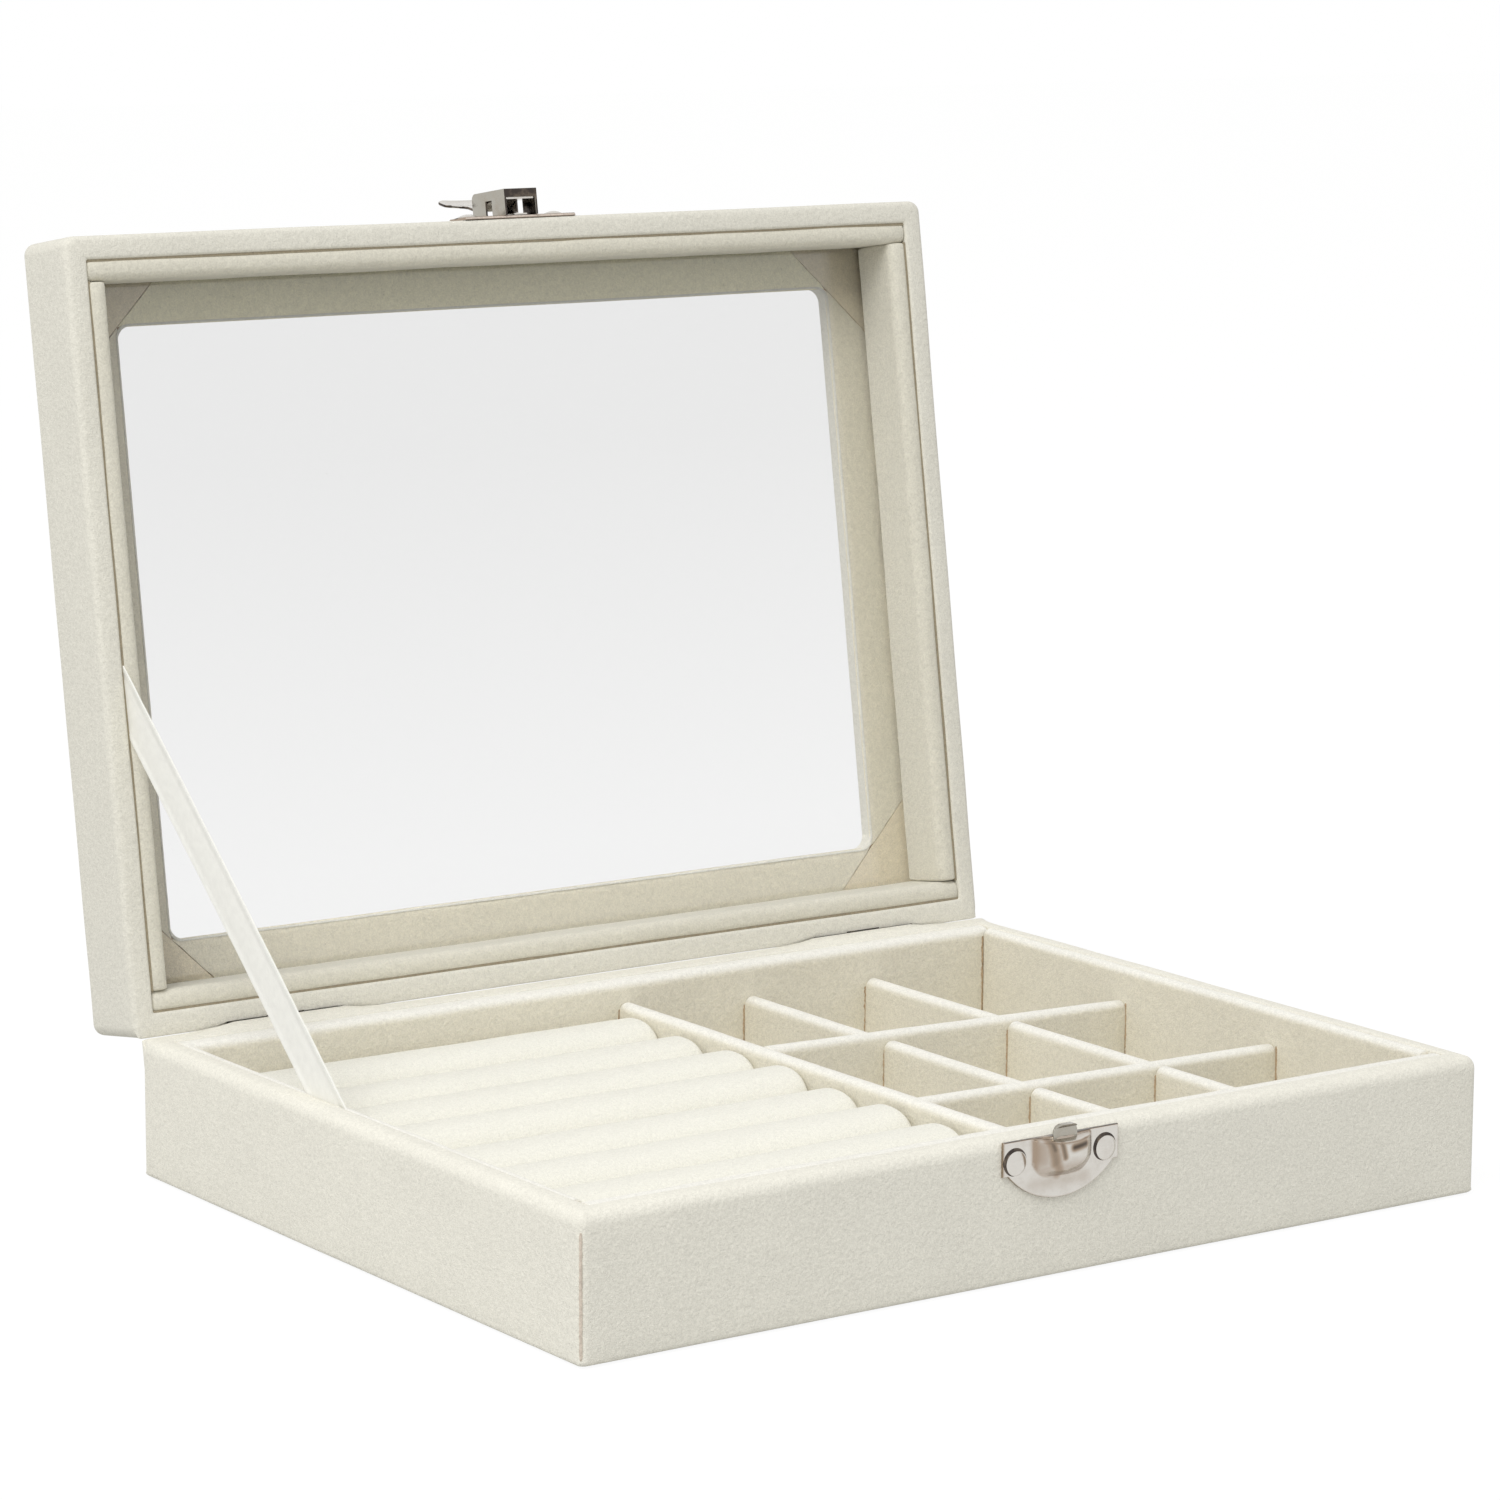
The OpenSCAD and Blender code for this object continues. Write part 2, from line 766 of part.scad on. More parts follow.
module lid_velvet_cover() {
    color(velvet_c) on_lid() difference() {
        rounded_slab(body_w, body_d, lid_h, corner_r, base_h);
        difference() {
            slab([body_w - 2 * velvet_t, body_d - 2 * velvet_t, panel_t], window_board_z);
            window_cut(velvet_t, window_board_z - 1, panel_t + 2);
        }
        board_ring(lid_board_z, window_board_z);
        lid_hollow();
        window_cut(0, base_h, lid_h + 1);
        on_closed_lid_front() rivet_holes();
        flip_to_lid() barrel_slits();
    }
}

// The velvet patches that show at the window's corners between the flaps.
module lid_corner_patches() {
    reach = frame_w - wall_outer - glue_gap;
    color(velvet_c) on_lid() for (sx = [-1, 1], sy = [-1, 1])
        translate([sx * window_w / 2, sy * window_d / 2, flap_z])
            mirror([sx < 0 ? 1 : 0, 0, 0]) mirror([0, sy < 0 ? 1 : 0, 0]) linear_extrude(velvet_t)
                corner_triangle(reach, glue_gap);
}

module window_glass() {
    color(glass_c) on_lid() slab([card_w, card_d, glass_t], glass_z);
}

// ---- lid linings ----

// Hangs a lining that stands on z = 0 from the glass, with its round edge at the rim.
module from_glass() {
    translate([0, 0, glass_z]) mirror([0, 0, 1]) children();
}

module lid_front_lining() {
    color(velvet_c) on_lid() translate([0, -lining_y, 0]) from_glass() long_lining(lid_lining_h);
}

module lid_back_lining() {
    color(velvet_c) on_lid() translate([0, lining_y, 0]) from_glass() long_lining(lid_lining_h);
}

module lid_left_lining() {
    color(velvet_c) difference() {
        on_lid() translate([-lid_lining_x, 0, 0]) from_glass() short_lining(lining_t, lid_lining_h);
        ribbon_strip(ribbon_play);
    }
}

module lid_right_lining() {
    color(velvet_c) on_lid() translate([lid_lining_x, 0, 0]) from_glass()
        short_lining(lining_t, lid_lining_h);
}

// ---- hinge leaves on the lid ----

module lid_hinge_leaf(side) {
    on_lid() flip_to_lid() translate([side * hinge_x, 0, 0]) hinge_leaf([1]);
}

module left_hinge_lid_leaf() {
    color(steel_c) lid_hinge_leaf(-1);
}

module right_hinge_lid_leaf() {
    color(steel_c) lid_hinge_leaf(1);
}

module lid_leaf_nails() {
    color(steel_c) on_lid() flip_to_lid() leaf_nails();
}

// ---- latch on the lid ----

module latch_plate() {
    color(steel_c) on_lid_front() difference() {
        press(0, metal_t) half_moon();
        rivet_holes();
    }
}

// The housing from the side, with its round back corner: X along and Y outwards.
module housing_side() {
    back = housing_along + housing_l;
    translate([housing_along, metal_t])
        square([housing_l, housing_h - metal_t - housing_corner_r]);
    translate([housing_along, metal_t])
        square([housing_l - housing_corner_r, housing_h - metal_t]);
    translate([back - housing_corner_r, housing_h - housing_corner_r]) circle(housing_corner_r);
}

module latch_housing() {
    outer_w = housing_inner_w + 2 * housing_t;
    color(steel_c) on_lid_front() difference() {
        union() {
            difference() {
                across(outer_w) housing_side();
                translate([-housing_inner_w / 2, 0, housing_along - 1])
                    cube([housing_inner_w, housing_h - housing_t, housing_l + 2]);
            }
            translate([-housing_inner_w / 2, housing_lip_out, housing_along])
                cube([housing_inner_w, housing_h - housing_lip_out, housing_t - housing_along]);
        }
        translate([-outer_w, slot_in, slot_from])
            cube([2 * outer_w, slot_out - slot_in, slot_to - slot_from]);
    }
}

module latch_rivets() {
    color(steel_c) on_lid_front() rivets();
}

// A bent strip as seen from the side: each point is [along, out] on its inner face.
module bent_strip(points, t) {
    for (i = [0 : len(points) - 2]) {
        a = points[i];
        b = points[i + 1];
        n = [-(b - a)[1], (b - a)[0]] / norm(b - a) * t;
        polygon([a, b, b + n, a + n]);
    }
    for (i = [1 : len(points) - 2]) translate(points[i] + [0, t / 2]) circle(t / 2);
}

// Extrudes a side view, X along and Y outwards, across a width.
module across(w) {
    translate([-w / 2, 0, 0]) multmatrix([[0, 0, 1, 0], [0, 1, 0, 0], [1, 0, 0, 0], [0, 0, 0, 1]])
        linear_extrude(w) children();
}

module latch_lever() {
    path = [[hook_along, lever_out], [lever_bend_along, lever_out], [lever_dip_along, lever_dip_out],
        [lever_tip_along, lever_tip_out]];
    color(steel_c) on_lid_front() union() {
        intersection() {
            across(thumb_w) bent_strip(path, lever_t);
            press(0, housing_h + 1) lever_outline();
        }
        difference() {
            translate([-lever_w / 2, hook_out, hook_along])
                cube([lever_w, lever_out + lever_t - hook_out, hook_t]);
            translate([-hook_notch_w / 2, 0, 0]) cube([hook_notch_w, lever_out, hook_along + hook_t + 1]);
        }
        for (side = [0, 1]) mirror([side, 0, 0]) translate([lever_w / 2 - ear_root, ear_out, ear_along])
            rotate([0, 90, 0]) cylinder(r = ear_r, h = ear_root + lever_side_gap + housing_t);
    }
}

// The lever from the front: narrow in the housing, with a wide thumb tab above it.
module lever_outline() {
    translate([-lever_w / 2, hook_along]) square([lever_w, housing_l]);
    hull() {
        for (side = [-1, 1])
            translate([side * (thumb_w / 2 - thumb_corner_r), lever_tip_along - thumb_corner_r])
                circle(thumb_corner_r);
        translate([-lever_w / 2, housing_along + housing_l]) square([lever_w, lever_t]);
    }
}

module latch_spring() {
    foot = [for (s = spring_foot_along) [s, metal_t]];
    color(steel_c) on_lid_front() across(spring_w) bent_strip([foot[0], foot[1], spring_tip], spring_t);
}

base_bottom_board();
base_front_board();
base_back_board();
base_left_board();
base_right_board();
base_velvet_cover();
base_underside_sheet();
base_floor_card();
base_front_lining();
base_back_lining();
base_left_lining();
base_right_lining();
main_divider();
front_cross_divider();
back_cross_divider();
left_depth_divider();
right_depth_divider();
for (i = [1 : roll_count]) ring_roll(i);
roll_foam_cores();
keeper_plate();
keeper_rivets();
left_hinge_base_leaf();
right_hinge_base_leaf();
hinge_pins();
base_leaf_nails();
stay_ribbon();
lid_front_board();
lid_back_board();
lid_left_board();
lid_right_board();
lid_window_board();
lid_velvet_cover();
lid_corner_patches();
window_glass();
lid_front_lining();
lid_back_lining();
lid_left_lining();
lid_right_lining();
left_hinge_lid_leaf();
right_hinge_lid_leaf();
lid_leaf_nails();
latch_plate();
latch_housing();
latch_rivets();
latch_spring();
latch_lever();
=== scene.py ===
"""A velvet ring display box with a glazed lid, standing open: its pieces, finishes, light and camera."""

import json
import logging
import math
from dataclasses import dataclass
from enum import Enum
from functools import lru_cache
from typing import Callable, Sequence

import bmesh
import bpy
from mathutils import Matrix, Vector, noise
from mathutils.kdtree import KDTree


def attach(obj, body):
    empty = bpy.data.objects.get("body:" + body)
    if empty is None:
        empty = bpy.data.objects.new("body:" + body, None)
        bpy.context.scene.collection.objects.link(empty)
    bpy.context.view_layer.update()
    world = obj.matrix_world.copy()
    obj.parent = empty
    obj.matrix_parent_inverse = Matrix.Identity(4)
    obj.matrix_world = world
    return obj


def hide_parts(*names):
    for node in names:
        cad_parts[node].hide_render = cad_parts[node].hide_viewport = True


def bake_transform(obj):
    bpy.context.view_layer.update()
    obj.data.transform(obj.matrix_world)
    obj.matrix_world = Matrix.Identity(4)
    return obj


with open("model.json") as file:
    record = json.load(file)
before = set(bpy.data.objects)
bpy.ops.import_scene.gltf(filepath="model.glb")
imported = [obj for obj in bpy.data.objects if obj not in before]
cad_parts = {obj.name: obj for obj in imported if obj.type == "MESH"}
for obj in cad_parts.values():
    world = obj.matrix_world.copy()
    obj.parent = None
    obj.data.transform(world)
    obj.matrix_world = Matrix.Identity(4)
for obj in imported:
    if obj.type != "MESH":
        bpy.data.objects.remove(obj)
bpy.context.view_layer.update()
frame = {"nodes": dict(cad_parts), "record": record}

LOG = logging.getLogger("ring_box")
MM = 0.001
MERGE = 1e-7
WANDER_SIZES = (26, 31, 17)
SIDES = ("front", "back", "left", "right")

Piece = bpy.types.Object
Node = bpy.types.Node
Socket = bpy.types.NodeSocket
Outline = Sequence[tuple[float, float]]
Loops = Sequence[Sequence[Vector]]
Shaper = Callable[[Vector], Vector]
Placer = Callable[[float, float, float], Vector]
Colour = tuple[float, float, float]
Value = Socket | float | Sequence[float]


def linear(*channels: int) -> Colour:
    """Turn a display colour's red, green and blue, from 0 to 255, into the linear ones that shaders take."""
    shares = [value / 255 for value in channels]
    return tuple(share / 12.92 if share <= 0.04045 else ((share + 0.055) / 1.055) ** 2.4 for share in shares)


# ---- sizes ----


@dataclass(frozen=True)
class BoxSizes:
    """The box's driving sizes, in millimetres, as its construction has them."""

    width: float = 200.0
    depth: float = 151.0
    base_height: float = 26.7
    lid_height: float = 17.6
    lid_shift: float = -1.2
    wall: float = 4.5
    tuck: float = 8.0
    lining: float = 4.0
    side_lining: float = 2.2
    lining_top: float = 26.5
    floor: float = 3.5
    sheet: float = 0.4
    hem: float = 12.0
    divider: float = 3.5
    main_divider_x: float = 4.0
    cross_shift: float = -1.6
    main_divider_height: float = 18.7
    depth_divider_height: float = 16.1
    cross_divider_height: float = 17.3
    window_frame: float = 16.6
    window_corner: float = 3.0
    flap: float = 11.0
    glass_level: float = 12.0
    hinge_x: float = 68.7
    hinge_length: float = 25.0
    latch_x: float = 0.3

    @property
    def inner_width(self) -> float:
        """The width between the base's side linings."""
        return self.width - 2 * (self.wall + self.side_lining)

    @property
    def inner_depth(self) -> float:
        """The depth between the front and back linings."""
        return self.depth - 2 * (self.wall + self.lining)

    @property
    def bay(self) -> float:
        """Where the compartments begin, right of the main divider."""
        return self.main_divider_x + self.divider / 2

    @property
    def cell(self) -> tuple[float, float]:
        """A compartment's width, and its depth before the cross dividers are shifted."""
        across = (self.inner_width / 2 - self.bay - 2 * self.divider) / 3
        return across, (self.inner_depth - 2 * self.divider) / 3

    @property
    def cross_y(self) -> list[float]:
        """The middle lines of the two cross dividers."""
        return [side * (self.cell[1] + self.divider) / 2 + self.cross_shift for side in (-1, 1)]


SIZES = BoxSizes()


class Body(Enum):
    """The parts of the box that move against each other."""

    BASE = "base"
    LID = "lid"
    LEVER = "latch_lever"


class LidPose:
    """Where the open lid holds what is drawn on the closed one."""

    def __init__(self) -> None:
        """Read the hinge from the frame's record."""
        joints = frame["record"]["behaviour"]["joints"]
        hinge = next(joint for joint in joints if joint["name"] == "lid_hinge")
        self.angle = math.radians(hinge["range_deg"][1])
        pivot = Matrix.Translation(Vector(hinge["pos_m"]))
        shift = moved(SIZES.lid_shift * MM, 0)
        self.matrix = shift @ pivot @ Matrix.Rotation(-self.angle, 4, "X") @ pivot.inverted()

    def open(self, piece: Piece) -> Piece:
        """Move a piece's mesh from the closed lid to the open one, and return the piece."""
        piece.data.transform(self.matrix)
        return piece


# ---- mesh making ----


def moved(x: float, y: float, turned: bool = False) -> Matrix:
    """A move over the floor, after a quarter turn where it is asked for."""
    return Matrix.Translation((x, y, 0)) @ Matrix.Rotation(math.pi / 2 * turned, 4, "Z")


def unit(value: float) -> float:
    """Keep a value between 0 and 1."""
    return min(1.0, max(0.0, value))


def soft_step(value: float) -> float:
    """Keep a value between 0 and 1, with a smooth start and end."""
    share = unit(value)
    return share * share * (3 - 2 * share)


def arc(centre: tuple[float, float], radius: float, start: float, end: float, steps: int = 6) -> list:
    """Points of a circular arc, the first and last included.

    Args:
        centre, radius: the arc's centre and radius.
        start, end: its first and last angle, in degrees.
        steps: how many pieces it is cut into.

    Returns:
        The points.
    """
    angles = [math.radians(start + (end - start) * step / steps) for step in range(steps + 1)]
    return [(centre[0] + radius * math.cos(a), centre[1] + radius * math.sin(a)) for a in angles]


def spaced(start: float, end: float, step: float) -> list[float]:
    """Evenly spaced values from start to end, about step apart, both ends included."""
    count = max(1, round(abs(end - start) / step))
    return [start + (end - start) * index / count for index in range(count + 1)]


def waver(point: Vector, size: float, amount: float, seed: float = 0.0) -> float:
    """A smooth unevenness at a point, between minus and plus amount; size is its wavelength in mm."""
    return amount * noise.noise(point / size + Vector((seed, seed * 0.37, -seed)))


def drift(point: Vector, sizes: Sequence[float], amounts: Sequence[float], seeds: Sequence[float]) -> Vector:
    """An unevenness in all three directions, each with its own wavelength, amount and seed."""
    return Vector([waver(point, *values) for values in zip(sizes, amounts, seeds)])


def linked(name: str, data: bpy.types.ID) -> Piece:
    """Make an object and put it in the scene.

    Args:
        name: the object's name.
        data: its mesh, lamp or camera.

    Returns:
        The object.
    """
    made = bpy.data.objects.new(name, data)
    bpy.context.scene.collection.objects.link(made)
    return made


def smooth(mesh: bpy.types.Mesh, crease: float) -> None:
    """Shade a mesh smooth, apart from edges sharper than crease degrees."""
    mesh.shade_smooth()
    mesh.set_sharp_from_angle(angle=math.radians(crease))


def solid(name: str, points: Sequence[Vector], faces: Sequence[Sequence[int]], crease: float = 40) -> Piece:
    """Make a closed mesh object from points in millimetres.

    Args:
        name: the piece's name.
        points: the corners, in millimetres.
        faces: the faces, as indices into points.
        crease: the angle past which an edge stays sharp, in degrees.

    Returns:
        The object, in metres, smooth-shaded, with its faces outwards.
    """
    mesh = bpy.data.meshes.new(name)
    mesh.from_pydata([tuple(Vector(point) * MM) for point in points], [], [list(face) for face in faces])
    build = bmesh.new()
    build.from_mesh(mesh)
    bmesh.ops.remove_doubles(build, verts=build.verts, dist=MERGE)
    bmesh.ops.dissolve_degenerate(build, edges=build.edges, dist=MERGE)
    bmesh.ops.recalc_face_normals(build, faces=build.faces)
    build.to_mesh(mesh)
    build.free()
    smooth(mesh, crease)
    return linked(name, mesh)


def tube(name: str, loops: Loops, crease: float = 50, capped: bool = True, wrapped: bool = False,
         runs: int = 1) -> Piece:
    """Skin rows of closed loops that have the same count of points.

    Args:
        name: the piece's name.
        loops: the loops' points, in millimetres.
        crease: the angle past which an edge stays sharp, in degrees.
        capped: whether the first and last loop of a run are closed with a face.
        wrapped: whether the last loop joins the first.
        runs: how many separate tubes the loops are for.

    Returns:
        The closed mesh.
    """
    count, rows, faces = len(loops[0]), len(loops) // runs, []
    for first in range(0, len(loops), rows):
        for row in range(rows if wrapped else rows - 1):
            here, below = (first + row) * count, (first + (row + 1) % rows) * count
            for column in range(count):
                beside = (column + 1) % count
                faces.append((here + column, here + beside, below + beside, below + column))
        if capped:
            faces += [range(row * count, (row + 1) * count) for row in (first, first + rows - 1)]
    return solid(name, [point for loop in loops for point in loop], faces, crease)


def slab(name: str, points: Sequence[Vector], wide: int) -> Piece:
    """Close a thin sheet from the points of its lower and upper layer.

    Args:
        name: the piece's name.
        points: the lower layer's rows of points and then the upper layer's, in millimetres.
        wide: how many points a row has.

    Returns:
        The closed mesh.
    """
    layer, faces = len(points) // 2, []
    deep = layer // wide
    for row in range(deep - 1):
        for a in range(row * wide, row * wide + wide - 1):
            faces.append((a, a + 1, a + 1 + wide, a + wide))
            faces.append((layer + a, layer + a + wide, layer + a + 1 + wide, layer + a + 1))
    border = list(range(wide)) + [row * wide + wide - 1 for row in range(1, deep)]
    border += [(deep - 1) * wide + column for column in range(wide - 2, -1, -1)]
    border += [row * wide for row in range(deep - 2, 0, -1)]
    faces += [(a, b, layer + b, layer + a) for a, b in zip(border, border[1:] + border[:1])]
    return solid(name, points, faces)


def rounded_loop(inset: float, radius: float, sides: tuple[int, int] = (56, 42), turns: int = 8) -> list:
    """Points round the box at an inset from its sides, with the same count whatever its size.

    Args:
        inset: how far inside the box's sides they lie.
        radius: its corner radius.
        sides: how many pieces its long and short sides have.
        turns: how many pieces each corner has.

    Returns:
        The points, anticlockwise from the right end of the front side.
    """
    cx, cy = SIZES.width / 2 - inset - radius, SIZES.depth / 2 - inset - radius
    corners = [((cx, -cy), -90), ((cx, cy), 0), ((-cx, cy), 90), ((-cx, -cy), 180)]
    bends = [arc(centre, radius, angle, angle + 90, turns) for centre, angle in corners]
    points: list[tuple[float, float]] = []
    for index, bend in enumerate(bends):
        (ax, ay), (bx, by), count = bend[-1], bends[(index + 1) % 4][0], sides[(index + 1) % 2]
        points += bend
        points += [(ax + (bx - ax) * step / count, ay + (by - ay) * step / count) for step in range(1, count)]
    return points


def ring(name: str, outline: Sequence[tuple[float, float, float]], shape: Shaper) -> Piece:
    """Sweep a closed outline round the box.

    Args:
        name: the piece's name.
        outline: the cross-section's points: inset from the box's side, height, and corner radius.
        shape: moves each point to its last place.

    Returns:
        The ring as a closed mesh.
    """
    loops = [[shape(Vector((x, y, height))) for x, y in rounded_loop(inset, radius)]
             for inset, height, radius in outline]
    return tube(name, loops, 60, capped=False, wrapped=True)


def bar(name: str, outline: Outline, length: float, place: Matrix, shape: Shaper | None = None,
        end_r: float = 0.5, step: float = 3.0) -> Piece:
    """Run a closed outline along X, with softly rounded ends.

    Args:
        name: the piece's name.
        outline: the cross-section's points, as (y, z).
        length: the bar's length, centred on x = 0.
        place: where the bar goes.
        shape: moves each point, after place.
        end_r: how far the ends are rounded.
        step: the distance between two cross-sections.

    Returns:
        The bar as a closed mesh.
    """
    ys, zs = zip(*outline)
    middle = Vector((sum(ys), sum(zs))) / len(outline)
    size, half = min(max(ys) - min(ys), max(zs) - min(zs)), length / 2
    rounding = [(end_r * (1 - math.cos(a)), end_r * (1 - math.sin(a)))
                for a in map(math.radians, (0, 30, 60))]
    stations = [(-half + along, inward) for along, inward in rounding]
    stations += [(x, 0.0) for x in spaced(-half + end_r, half - end_r, step)]
    stations += [(half - along, inward) for along, inward in reversed(rounding)]
    loops = []
    for x, inward in stations:
        flat = [middle + (Vector(spot) - middle) * (1 - 2 * inward / size) for spot in outline]
        loops.append([place @ Vector((x, y, z)) for y, z in flat])
    return tube(name, [[shape(point) for point in loop] for loop in loops] if shape else loops, 40)


def node_copy(node: str, name: str, edit: Callable[[bmesh.types.BMesh], None],
              turn: Matrix = Matrix.Identity(4)) -> Piece:
    """Copy a construction node's mesh, merge its loose triangles and edit it.

    Args:
        node: the construction node.
        name: the new piece's name.
        edit: what is done to the merged mesh.
        turn: the pose that is undone before the edit and done again after it.

    Returns:
        The new piece.
    """
    mesh = frame["nodes"][node].data.copy()
    mesh.name = name
    mesh.materials.clear()
    mesh.transform(turn.inverted())
    build = bmesh.new()
    build.from_mesh(mesh)
    bmesh.ops.remove_doubles(build, verts=build.verts, dist=MERGE)
    edit(build)
    build.to_mesh(mesh)
    build.free()
    mesh.transform(turn)
    return linked(name, mesh)


def drawn_in(low: float, high: float, ease: float = 0.9, near: float = 0.75) -> Callable:
    """An edit that draws a board's outer corners in, so that the velvet can turn round them softly.

    Args:
        low, high: the heights of the shell's outer edges; only a rim or top edge counts.
        ease: how far a corner is drawn in.
        near: how close to the shell's outside a point is drawn in.

    Returns:
        The edit, for node_copy.
    """
    def edit(build: bmesh.types.BMesh) -> None:
        """Draw in each point that lies on two outer sides.

        Args:
            build: the mesh that is edited.
        """
        for vert in build.verts:
            x, y, z = (value / MM for value in vert.co)
            outer = (SIZES.width / 2 - abs(x) < near, SIZES.depth / 2 - abs(y) < near,
                     abs(z - high) < near or abs(z - low) < near)
            if sum(outer) < 2:
                continue
            x -= math.copysign(ease, x) * outer[0]
            y -= math.copysign(ease, y) * outer[1]
            z += (ease if abs(z - low) < near else -ease) * outer[2]
            vert.co = Vector((x, y, z)) * MM
        bmesh.ops.recalc_face_normals(build, faces=build.faces)

    return edit


def settled(piece: Piece, crease: float = 40) -> Piece:
    """Turn a piece's modifiers into plain mesh.

    Args:
        piece: the piece.
        crease: the angle past which an edge stays sharp, in degrees.

    Returns:
        The piece.
    """
    bpy.context.view_layer.update()
    evaluated = piece.evaluated_get(bpy.context.evaluated_depsgraph_get())
    mesh = bpy.data.meshes.new_from_object(evaluated)
    mesh.name = piece.name
    piece.modifiers.clear()
    piece.data = mesh
    smooth(mesh, crease)
    return piece


# ---- shader groups ----


class ShaderTree:
    """A small helper that adds nodes to a shader tree and joins them."""

    def __init__(self, tree: bpy.types.NodeTree) -> None:
        """Keep the tree that nodes are added to."""
        self.tree = tree

    def add(self, kind: str, **settings: object) -> Node:
        """Add a node and set its attributes.

        Args:
            kind: the node's type without "ShaderNode".
            settings: attributes of the node.

        Returns:
            The node.
        """
        node = self.tree.nodes.new("ShaderNode" + kind)
        for name, value in settings.items():
            setattr(node, name, value)
        return node

    def feed(self, node: Node, **inputs: Value) -> Node:
        """Set or link a node's inputs by name.

        Args:
            node: the node.
            inputs: what each input takes, named with _ for a space.

        Returns:
            The node.
        """
        for name, value in inputs.items():
            self.join(value, node.inputs[name.replace("_", " ")])
        return node

    def join(self, value: Value, socket: Socket) -> None:
        """Give a socket its value.

        Args:
            value: a socket to link from, or a value to set.
            socket: the input that takes it.
        """
        if isinstance(value, Socket):
            self.tree.links.new(value, socket)
        else:
            socket.default_value = value

    def place(self, output: str = "Object") -> Socket:
        """Where a point of the surface is, on the piece or on its own map."""
        return self.add("TexCoord").outputs[output]

    def point_value(self, name: str) -> Socket:
        """The value that each point of the mesh carries under a name."""
        return self.add("Attribute", attribute_name=name).outputs["Fac"]

    def maths(self, operation: str, *values: Value) -> Socket:
        """Add a Math node.

        Args:
            operation: what the node does.
            values: what its inputs take, in order.

        Returns:
            Its value.
        """
        node = self.add("Math", operation=operation)
        for socket, value in zip(node.inputs, values):
            self.join(value, socket)
        return node.outputs[0]

    def times(self, first: Value, second: Value) -> Socket:
        """Multiply two values."""
        return self.maths("MULTIPLY", first, second)

    def span(self, value: Value, low: float, high: float, to_low: float, to_high: float) -> Socket:
        """Map a value from one range to another, clamped, and return it."""
        ends = {"From_Min": low, "From_Max": high, "To_Min": to_low, "To_Max": to_high}
        return self.feed(self.add("MapRange"), Value=value, **ends).outputs["Result"]

    def clouds(self, where: Socket, scale: Value, detail: float = 3.0, roughness: float = 0.5) -> Socket:
        """Add a Noise Texture and return its value."""
        node = self.feed(self.add("TexNoise"), Vector=where, Scale=scale, Detail=detail, Roughness=roughness)
        return node.outputs["Fac"]

    def scaled(self, colour: Value, factor: Value) -> Socket:
        """Multiply a colour by a value.

        Args:
            colour, factor: the colour and the value.

        Returns:
            The product.
        """
        node = self.add("VectorMath", operation="SCALE")
        self.join(colour, node.inputs[0])
        return self.feed(node, Scale=factor).outputs[0]

    def blended(self, share: Value, first: Value, second: Value) -> Socket:
        """Mix two colours.

        Args:
            share: the second colour's share.
            first, second: the colours.

        Returns:
            The mixture.
        """
        node = self.add("Mix", data_type="RGBA")
        for value, index in ((share, 0), (first, 6), (second, 7)):
            self.join(value, node.inputs[index])
        return node.outputs[2]

    def bump(self, strength: float, distance: float, height: Socket) -> Socket:
        """Add a Bump node over a distance in metres and return its normal."""
        node = self.feed(self.add("Bump"), Strength=strength, Distance=distance, Height=height)
        return node.outputs["Normal"]


def shader_group(name: str, inputs: dict[str, Value],
                 outputs: Sequence[str]) -> tuple[ShaderTree, Node, Node]:
    """Make an empty shader group.

    Args:
        name: the group's name.
        inputs: each input's default, a number or a colour.
        outputs: the outputs' names.

    Returns:
        The helper for its tree, the group's input node and its output node.
    """
    group = bpy.data.node_groups.new(name, "ShaderNodeTree")
    kinds = {"Colour": "NodeSocketColor", "Normal": "NodeSocketVector"}
    for label, default in inputs.items():
        kind = kinds.get(label, "NodeSocketFloat")
        group.interface.new_socket(name=label, in_out="INPUT", socket_type=kind).default_value = default
    for label in outputs:
        kind = kinds.get(label, "NodeSocketFloat")
        group.interface.new_socket(name=label, in_out="OUTPUT", socket_type=kind)
    return ShaderTree(group), group.nodes.new("NodeGroupInput"), group.nodes.new("NodeGroupOutput")


